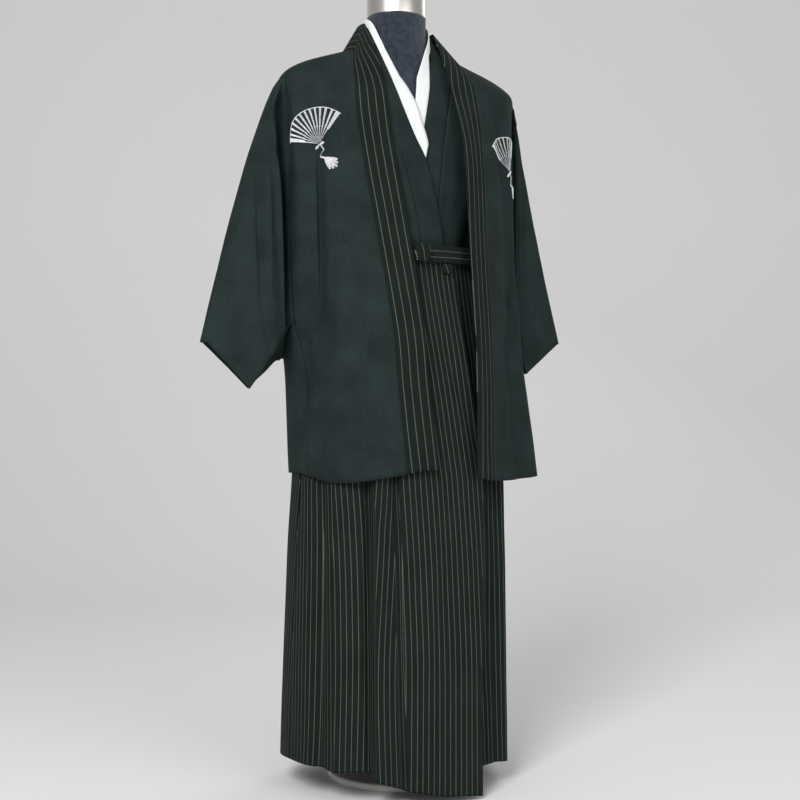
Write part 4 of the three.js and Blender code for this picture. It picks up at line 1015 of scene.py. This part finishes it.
def buildKimonoCollar():
    across = [k / 12 for k in range(13)]
    stations = [[kimonoBandPoint(-1, level, share) for share in across] for level in kimonoRows]
    top = kimono["rows"][-1]
    for side in (-1, 1):
        stations += neckStations(side, kimonoAngles(side, top), kimono["neck"],
                                 kimono["columnSteps"], across,
                                 lambda angle: kimonoPoint(side, top, angle), kimonoNeck)
    stations += [[kimonoBandPoint(1, level, share) for share in across]
                 for level in kimonoRows[::-1]]
    return clothPiece("kimonoCollar", stations, bandUvs(stations), kimono["wall"], plainCotton)


def buildWhiteCollar():
    k = kimono
    across = [n / 8 for n in range(9)]
    stations = []

    def low(table, z):
        free, tucked, layer = (readTable(table, z, column) for column in (1, 2, 3))
        stations.append([kimonoSurface(z, angleAt(k["levels"], z, mix(tucked, free, share)), layer)
                         for share in across])

    for z in refined([row[0] for row in k["whiteRight"]], 6):
        low(k["whiteRight"], z)
    rows = k["whiteNeck"]
    keys = [(-row[0],) + row for row in rows]
    for place in refined([row[0] for row in keys], 6):
        angle, z, tuckedAngle, radius, tuckedZ = (readTable(keys, place, c) for c in range(1, 6))
        free = ringPoint(form["levels"], z, angle)
        toNape = ease(130, 170, 180 - abs(180 - abs(angle)))
        free += wayOut(free) * mix(k["neckEase"], k["napeEase"], toNape)
        s, c = sinCos(tuckedAngle)
        tucked = Vector((radius * s, -radius * c, tuckedZ))
        stations.append([tucked.lerp(free, share) for share in across])
    for z in refined([row[0] for row in k["whiteLeft"]], 6)[::-1]:
        low(k["whiteLeft"], z)
    piece = clothPiece("whiteCollar", stations, bandUvs(stations), k["whiteWall"], whiteCotton)
    piece.modifiers["cloth wall"].offset = 1
    return piece


settle(buildKimonoBody("kimonoBodyRight", -1), "plain_cotton", "kimono_body_right")
settle(buildKimonoBody("kimonoBodyLeft", 1), "plain_cotton", "kimono_body_left")
settle(buildKimonoCollar(), "plain_cotton", "kimono_collar")
settle(buildWhiteCollar(), "white_cotton", "white_collar")
print("kimono made")


# ---- hakama

hakama = {
    "wall": 1.6,
    "levels": [
        (10, 231, 200, 226, 154), (150, 227, 206, 211, 152), (300, 221, 209, 199, 150),
        (450, 214, 211, 189, 148), (590, 207, 212, 174, 134), (690, 202, 203, 165, 128),
        (790, 191, 190, 154, 122), (880, 176, 175, 142, 117), (950, 170, 170, 134, 116),
        (1004, 167, 167, 131, 115)],
    # place at the waist, hip and floor, stand, hem height, which edge the stripes of the panel
    # that starts here run along (-1 this line, 1 the next, 2 the one after) and how far they
    # lean from it below the hip, in millimetres a metre
    "front": [
        (-1, -1, -1, 0, 57, 1, 0), (-126, -204, -224, 2, 58, -1, 0),
        (-112, -197, -214, -9, 57, 1, 24), (-100, -184, -200, 1, 54, 1, 30),
        (-68, -135, -152, -5, 59, 1, 0), (-63, -129, -146, 10, 45, 1, -80),
        (-40, -96, -104, -3, 30, 1, 0), (-35, -90, -97, 8, 28, 2, 80), (6, 0, -24, 5, 13, 1, 80),
        (45, 84, 45, 13, 6, -1, 0), (50, 90, 51, -26, 46, 1, 0), (84, 138, 112, -14, 46, 1, 12),
        (104, 164, 142, 4, 42, -1, 0), (122, 182, 166, -7, 36, -1, 16), (1, 1, 1, 0, 28, -1, 0)],
    "back": [
        (1, 1, 1, 0, 28, 1, 14), (110, 156, 150, 6, 34, -1, 0), (96, 136, 128, -8, 36, 1, -26),
        (44, 62, 66, 7, 38, -1, 0), (38, 54, 58, -6, 38, 1, 18), (-38, -54, -58, -6, 40, 1, 0),
        (-44, -62, -66, 7, 40, -1, 30), (-96, -140, -146, -8, 46, 1, 0),
        (-110, -160, -170, 6, 50, -1, -16), (-1, -1, -1, 0, 57, -1, 0)],
    "top": 1004, "hip": 575, "floor": 10, "waistLift": 0.22,
    "shares": [0, 0.06, 0.14, 0.23, 0.33, 0.43, 0.53, 0.62, 0.71, 0.8, 0.89, 1],
    "rowSteps": 8, "columnStep": 4.0, "foldRound": 0.5, "slack": 1.2,
    "flatness": 2, "degreeWidth": 3.2,   # a degree at the hip is about 3.2 wide
    # metres below the hip over which the stripes lean fully, and then less and less
    "leanFull": 0.25, "leanFade": 0.1,
    "creases": [
        (-138, 660, -153, 50, -14, 5), (-92, 700, -94, 500, -8, 6), (-200, 640, -215, 60, -7, 6),
        (20, 820, 70, 640, -4, 12), (-20, 560, -52, 240, 3, 16), (120, 520, 104, 180, -3, 12),
        (-170, 520, -176, 160, 2.5, 14), (150, 900, 176, 720, 3, 12)],
}


def pleatPlace(line, z):
    h = hakama
    if z > h["hip"]:
        return mix(line[1], line[0], (z - h["hip"]) / (h["top"] - h["hip"]))
    return mix(line[2], line[1], (z - h["floor"]) / (h["hip"] - h["floor"]))


def pleatAngle(line, z, behind):
    place = pleatPlace(line, z)
    angle = place * 90 if abs(place) == 1 else angleAt(hakama["levels"], z, place, behind)
    return angle + 360 if behind and angle < 0 else angle


def hakamaPoint(angle, z, lift):
    p = ringPoint(hakama["levels"], z, angle)
    grown = mix(1, hakama["waistLift"], ease(hakama["hip"], hakama["top"], z))
    push = lift * grown + slack(p, 9, hakama["slack"], 60, 260)
    if sinCos(angle)[1] > 0:
        push += creaseDepth(hakama["creases"], p.x, z)
    return p + wayOut(p, hakama["flatness"]) * push


def buildHakamaPanel(name, lines, behind):
    h = hakama
    shares = refined(h["shares"], h["rowSteps"])
    columns, panels = [], []
    for i in range(len(lines) - 1):
        a, b = lines[i], lines[i + 1]
        gap = abs(pleatAngle(a, h["hip"], behind) - pleatAngle(b, h["hip"], behind))
        steps = max(3, round(gap * h["degreeWidth"] / h["columnStep"]) + abs(a[3] - b[3]) // 8)
        panels.append((len(columns), len(columns) + steps, a[5], a[6]))
        columns += [(a, b, k / steps) for k in range(steps)]
    columns.append((lines[-1], lines[-1], 0))
    grid = []
    for share in shares:
        row = []
        for a, b, t in columns:
            z = mix(mix(a[4], b[4], t), h["top"], share)
            angle = mix(pleatAngle(a, z, behind), pleatAngle(b, z, behind), t)
            soft = mix(t, ease(0, 1, t), h["foldRound"])   # the cloth leaves a fold roundly
            row.append(hakamaPoint(angle, z, mix(a[3], b[3], soft)))
        grid.append(row)
    middleLengths = rowLengths(grid[len(grid) // 2])
    uvs = []
    for row in grid:
        values = [0.0] * len(columns)
        for k, (first, last, edge, lean) in enumerate(panels):
            start = {-1: first, 1: last, 2: panels[min(k + 1, len(panels) - 1)][1]}[edge]
            lengths = rowLengths(row[first:max(last, start) + 1], start - first)
            for c in range(first, last + 1):
                down = max(0.0, h["hip"] - row[c].z) * metre
                past = math.tanh(max(0.0, down - h["leanFull"]) / h["leanFade"])
                lowered = min(down, h["leanFull"]) + h["leanFade"] * past
                values[c] = middleLengths[start] + lengths[c - first] - lean * lowered
        uvs.append([(value, p.z) for value, p in zip(values, row)])
    insetColumn(grid, 0, 1)
    insetColumn(grid, len(columns) - 1, len(columns) - 2)
    return clothPiece(name, grid, uvs, h["wall"], hakamaCotton)


waistTie = {
    "low": 976, "high": 1008, "width": 176, "front": 140, "back": 124, "wall": 2.6,
    "around": 160, "rows": 12,
    # a swell with a groove along its middle, and edges that wave and sway round the waist
    "swell": 1.2, "groove": 0.5, "grooveRows": 1.2, "wave": 0.3, "waves": 9,
    "sway": 0.6, "sways": 3, "stripeSpread": 1.35, "radianLength": 150,
    # how deep creases press into the knot and the end, less behind, and how they slant
    "press": 0.1, "pressBehind": 0.15, "slant": 0.3,
    "knotAt": (-29, -147.4, 993), "knotHalf": (16, 6.5, 17),
    "tailAt": (30, -139.05, 966.4), "tailHalf": (12, 3, 9.2), "square": 0.62,
}


def buildTie():
    w = waistTie
    grid, uvs = [], []
    for r in range(w["rows"] + 1):
        z = mix(w["low"], w["high"], r / w["rows"])
        swell = w["swell"] * math.sin(math.pi * r / w["rows"])
        swell -= w["groove"] * bell(r - w["rows"] / 2, w["grooveRows"])
        row, uvRow = [], []
        for c in range(w["around"]):
            angle = math.radians(-180 + 360 * c / w["around"])
            s, k = math.sin(angle), math.cos(angle)
            wave = w["wave"] * math.sin(w["waves"] * angle + 1)
            x = squared(w["width"] + swell + wave, s)
            y = -squared((w["front"] if k > 0 else w["back"]) + swell + wave, k)
            row.append(Vector((x, y, z + w["sway"] * math.sin(w["sways"] * angle))))
            up = r * (w["high"] - w["low"]) / w["rows"] * w["stripeSpread"] + 1
            uvRow.append((up, w["radianLength"] * angle))
        grid.append(row)
        uvs.append(uvRow)
    return clothPiece("waistTieBand", grid, uvs, w["wall"], stripedCotton, wraps=True)


# A knotted or hanging end of the tie: a soft lump with creases pressed into it
def buildLump(name, at, half, creaseCount, seed):
    w = waistTie
    grid, uvs = [], []
    rings, around = 28, 44
    for r in range(rings - 1, 0, -1):
        polar = math.pi * r / rings
        row, uvRow = [], []
        for c in range(around):
            a = 2 * math.pi * c / around
            corner = [math.sin(polar) * math.cos(a), math.sin(polar) * math.sin(a),
                      math.cos(polar)]
            x, y, z = (math.copysign(abs(v) ** w["square"], v) for v in corner)
            crease = 0.5 + 0.5 * math.sin(creaseCount * (x + w["slant"] * z) + seed)
            y *= mix(1, 1 - w["press"] * crease, 1 if y < 0 else w["pressBehind"])
            row.append(Vector((at[0] + half[0] * x, at[1] + half[1] * y, at[2] + half[2] * z)))
            uvRow.append((half[0] * x + 4 * z + seed, half[2] * z + 60))
        grid.append(row)
        uvs.append(uvRow)
    ends = [(Vector((at[0], at[1], at[2] + half[2] * z)), (seed, 60 + half[2] * z))
            for z in (-1, 1)]
    return ringBody(name, grid, uvs, ends, stripedCotton)


settle(buildHakamaPanel("hakamaFront", hakama["front"], False), "striped_cotton", "hakama_front")
settle(buildHakamaPanel("hakamaBack", hakama["back"], True), "striped_cotton", "hakama_back")
settle(buildTie(), "striped_cotton", "waist_tie")
settle(buildLump("tieKnot", waistTie["knotAt"], waistTie["knotHalf"], 5, 0.4),
       "striped_cotton", "tie_knot")
settle(buildLump("tieTail", waistTie["tailAt"], waistTie["tailHalf"], 4, 2.1),
       "striped_cotton", "tie_tail")
print("hakama made")


# ---- embroidered folding fans

fans = {
    "right": {"pivot": (-206, 1191), "from": 176, "to": 53, "radius": 71, "squeeze": 0.885,
              "reach": 1.0, "blades": 13, "bladeShare": 0.37, "ribShare": 0.36},
    "left": {"pivot": (216, 1170), "from": 143, "to": 62, "radius": 68, "squeeze": 1.2,
             "reach": 0.6, "blades": 9, "bladeShare": 0.26, "ribShare": 0.24},
    # the guards are the broadest blades
    "leafFrom": 0.46, "leafShort": 0.6, "guardShare": 0.36, "ribAside": 0.12, "rimHalf": 0.8,
    "threadGap": 0.85, "threadRadius": 0.42, "threadFlatness": 0.7, "raise": 0.6,
}
arcTables = {}


# A place on the haori's front, a length along the cloth from a pivot, raised off it
def onHaori(pivot, along, z):
    key = (pivot, round(z / 3))
    if key not in arcTables:
        level = 3 * key[1]
        middle = angleAt(haori["levels"], pivot[1], pivot[0])
        angles = [middle + 0.5 * k for k in range(-90, 91)]
        row = [haoriSurface(level, angle) for angle in angles]
        arcTables[key] = (angles, rowLengths(row, 90))
    angles, lengths = arcTables[key]
    k = 1
    while k < len(lengths) - 2 and lengths[k] < along:
        k += 1
    t = (along - lengths[k - 1]) / (lengths[k] - lengths[k - 1])
    angle = mix(angles[k - 1], angles[k], t)
    p = haoriSurface(z, angle)
    normal = (haoriSurface(z, angle + 0.5) - p).cross(haoriSurface(z + 2, angle) - p).normalized()
    return p + normal * fans["raise"]


# Satin stitch: threads laid between the two places that a share of the length gives
def satin(runs, edges, length, surface):
    count = max(2, int(length / fans["threadGap"]))
    for k in range(count + 1):
        a, b = edges(k / count)
        steps = 3 if (a[0] - b[0]) ** 2 + (a[1] - b[1]) ** 2 > 9 else 2
        runs.append([surface(mix(a[0], b[0], n / steps), mix(a[1], b[1], n / steps))
                     for n in range(steps + 1)])


def buildFan(name, spec):
    pz = spec["pivot"][1]
    radius = spec["radius"]
    runs = []

    def surface(x, z):
        return onHaori(spec["pivot"], x * (spec["reach"] if x > 0 else 1), z)

    def at(r, degrees):
        a = math.radians(degrees)
        across = math.cos(a) * (spec["squeeze"] if math.cos(a) < 0 else 1)
        return (r * across, pz + r * math.sin(a))

    step = (spec["from"] - spec["to"]) / spec["blades"]
    inner, outer = radius * fans["leafFrom"], radius - fans["leafShort"]
    for k in range(spec["blades"]):
        middle = spec["from"] - step * (k + 0.5)
        guard = k in (0, spec["blades"] - 1)
        half = step * (fans["guardShare"] if guard else spec["bladeShare"] / 2)
        satin(runs, lambda t: [at(mix(inner, outer, t), middle + side * half * mix(1.15, 1, t))
                               for side in (-1, 1)], outer - inner, surface)
        # the rib below the leaf lies a little aside of it and runs to the pivot
        aside, rib = step * fans["ribAside"], step * spec["ribShare"] / 2
        satin(runs, lambda t: [at(mix(4, inner + 1, t), middle + aside + side * rib)
                               for side in (-1, 1)], inner - 4, surface)
    spread = spec["from"] - spec["to"]
    satin(runs, lambda t: [at(radius + side * fans["rimHalf"], spec["from"] - spread * t)
                           for side in (-1, 1)], radius * math.radians(spread), surface)

    # the bow at the pivot, its cord and the tassel
    def shape(x0, z0, x1, z1, wide):
        dx, dz = x1 - x0, z1 - z0
        length = math.hypot(dx, dz)
        nx, nz = -dz / length, dx / length
        satin(runs, lambda t: [(x0 + dx * t + side * nx * wide(t),
                                pz + z0 + dz * t + side * nz * wide(t)) for side in (1, -1)],
              length, surface)

    shape(0, -1, 9, 2, lambda t: 1.1 + 2.6 * math.sin(math.pi * t) * t)
    shape(0, -1, -9, -10, lambda t: 1.1 + 2.2 * math.sin(math.pi * t) * t)
    shape(1, -1, 8, -12, lambda t: 1.5 - 0.5 * t)
    shape(8, -12, 2, -25, lambda t: 0.8)
    shape(2, -25, 13, -28, lambda t: 1.0 + 1.0 * t)
    for k in range(5):
        a = math.radians(-62 + 13 * k)
        long = 30 - 2.5 * abs(k - 2)
        shape(13, -28, 13 + long * math.cos(a), -28 + long * math.sin(a),
              lambda t: 0.9 + 1.9 * math.sin(math.pi * min(1, t * 0.85)))
    return laidThreads(name, runs, fans["threadRadius"], fans["threadFlatness"], whiteThread)


settle(buildFan("fanRight", fans["right"]), "white_cotton")
settle(buildFan("fanLeft", fans["left"]), "white_cotton")
print("fans embroidered")


print("all cloth pieces built")


# ---- stage, light and camera

stage = {
    "floor": "#f1f1f0", "backdrop": 6.0, "eye": (-1.35, -2.338, 0.722), "azimuth": -30,
    "lens": 1393 * 36 / 800, "shift": 0.005, "world": 0.36,
    "lights": [   # place, aim, size and power
        ("key softbox", (-2.75, -2.5, 3.0), (0, 0, 0.9), (1.5, 1.9), 126),
        ("front fill", (0.6, -3.6, 1.5), (0, 0, 0.7), (2.4, 2.4), 34),
        ("rim softbox", (2.4, 1.2, 2.6), (0, 0, 1.0), (1.2, 2.0), 14)],
    # the sweep's half width, near and far reach and the radius of its curve
    "sweepHalf": 9, "sweepBack": 2.2, "sweepRadius": 1.6,
}


def buildSweep():
    half, back, radius = stage["sweepHalf"], stage["sweepBack"], stage["sweepRadius"]
    profile = [(-half, 0), (back, 0)]
    for k in range(1, 11):
        s, c = sinCos(9 * k)
        profile.append((back + radius * s, radius - radius * c))
    profile.append((back + radius, stage["backdrop"]))
    s, c = sinCos(-stage["azimuth"])
    points = []
    for along, up in profile:
        for side in (-half, half):
            place = Vector((side * c + along * s, -side * s + along * c, up))
            points.append(place / metre)
    faces = [(2 * k, 2 * k + 1, 2 * k + 3, 2 * k + 2) for k in range(len(profile) - 1)]
    material, tree, shader = newMaterial("pale paper sweep")
    shader.inputs["Base Color"].default_value = srgb(stage["floor"])
    setShader(shader, roughness=0.9, specular=0.1)
    sweep = meshPiece("paperSweep", points, faces, [(p.x, p.y) for p in points], material)


def addLight(name, place, aim, size, power):
    data = bpy.data.lights.new(name, "AREA")
    data.shape = "RECTANGLE"
    data.size, data.size_y = size
    data.energy = power
    light = bpy.data.objects.new(name, data)
    light.location = place
    light.rotation_euler = (Vector(aim) - Vector(place)).to_track_quat("-Z", "Y").to_euler()
    bpy.context.scene.collection.objects.link(light)


buildSweep()
for light in stage["lights"]:
    addLight(*light)
world = bpy.data.worlds.new("studio")
world.use_nodes = True
sky = world.node_tree.nodes["Background"].inputs
sky["Color"].default_value = (1, 1, 1, 1)
sky["Strength"].default_value = stage["world"]
bpy.context.scene.world = world
bpy.context.scene.view_settings.view_transform = "Standard"

camera = bpy.data.objects.new("camera", bpy.data.cameras.new("camera"))
camera.data.lens = stage["lens"]
camera.data.sensor_width = 36
camera.data.shift_x = stage["shift"]
camera.location = stage["eye"]
camera.rotation_euler = (math.radians(90), 0, math.radians(stage["azimuth"]))
bpy.context.scene.collection.objects.link(camera)
bpy.context.scene.camera = camera
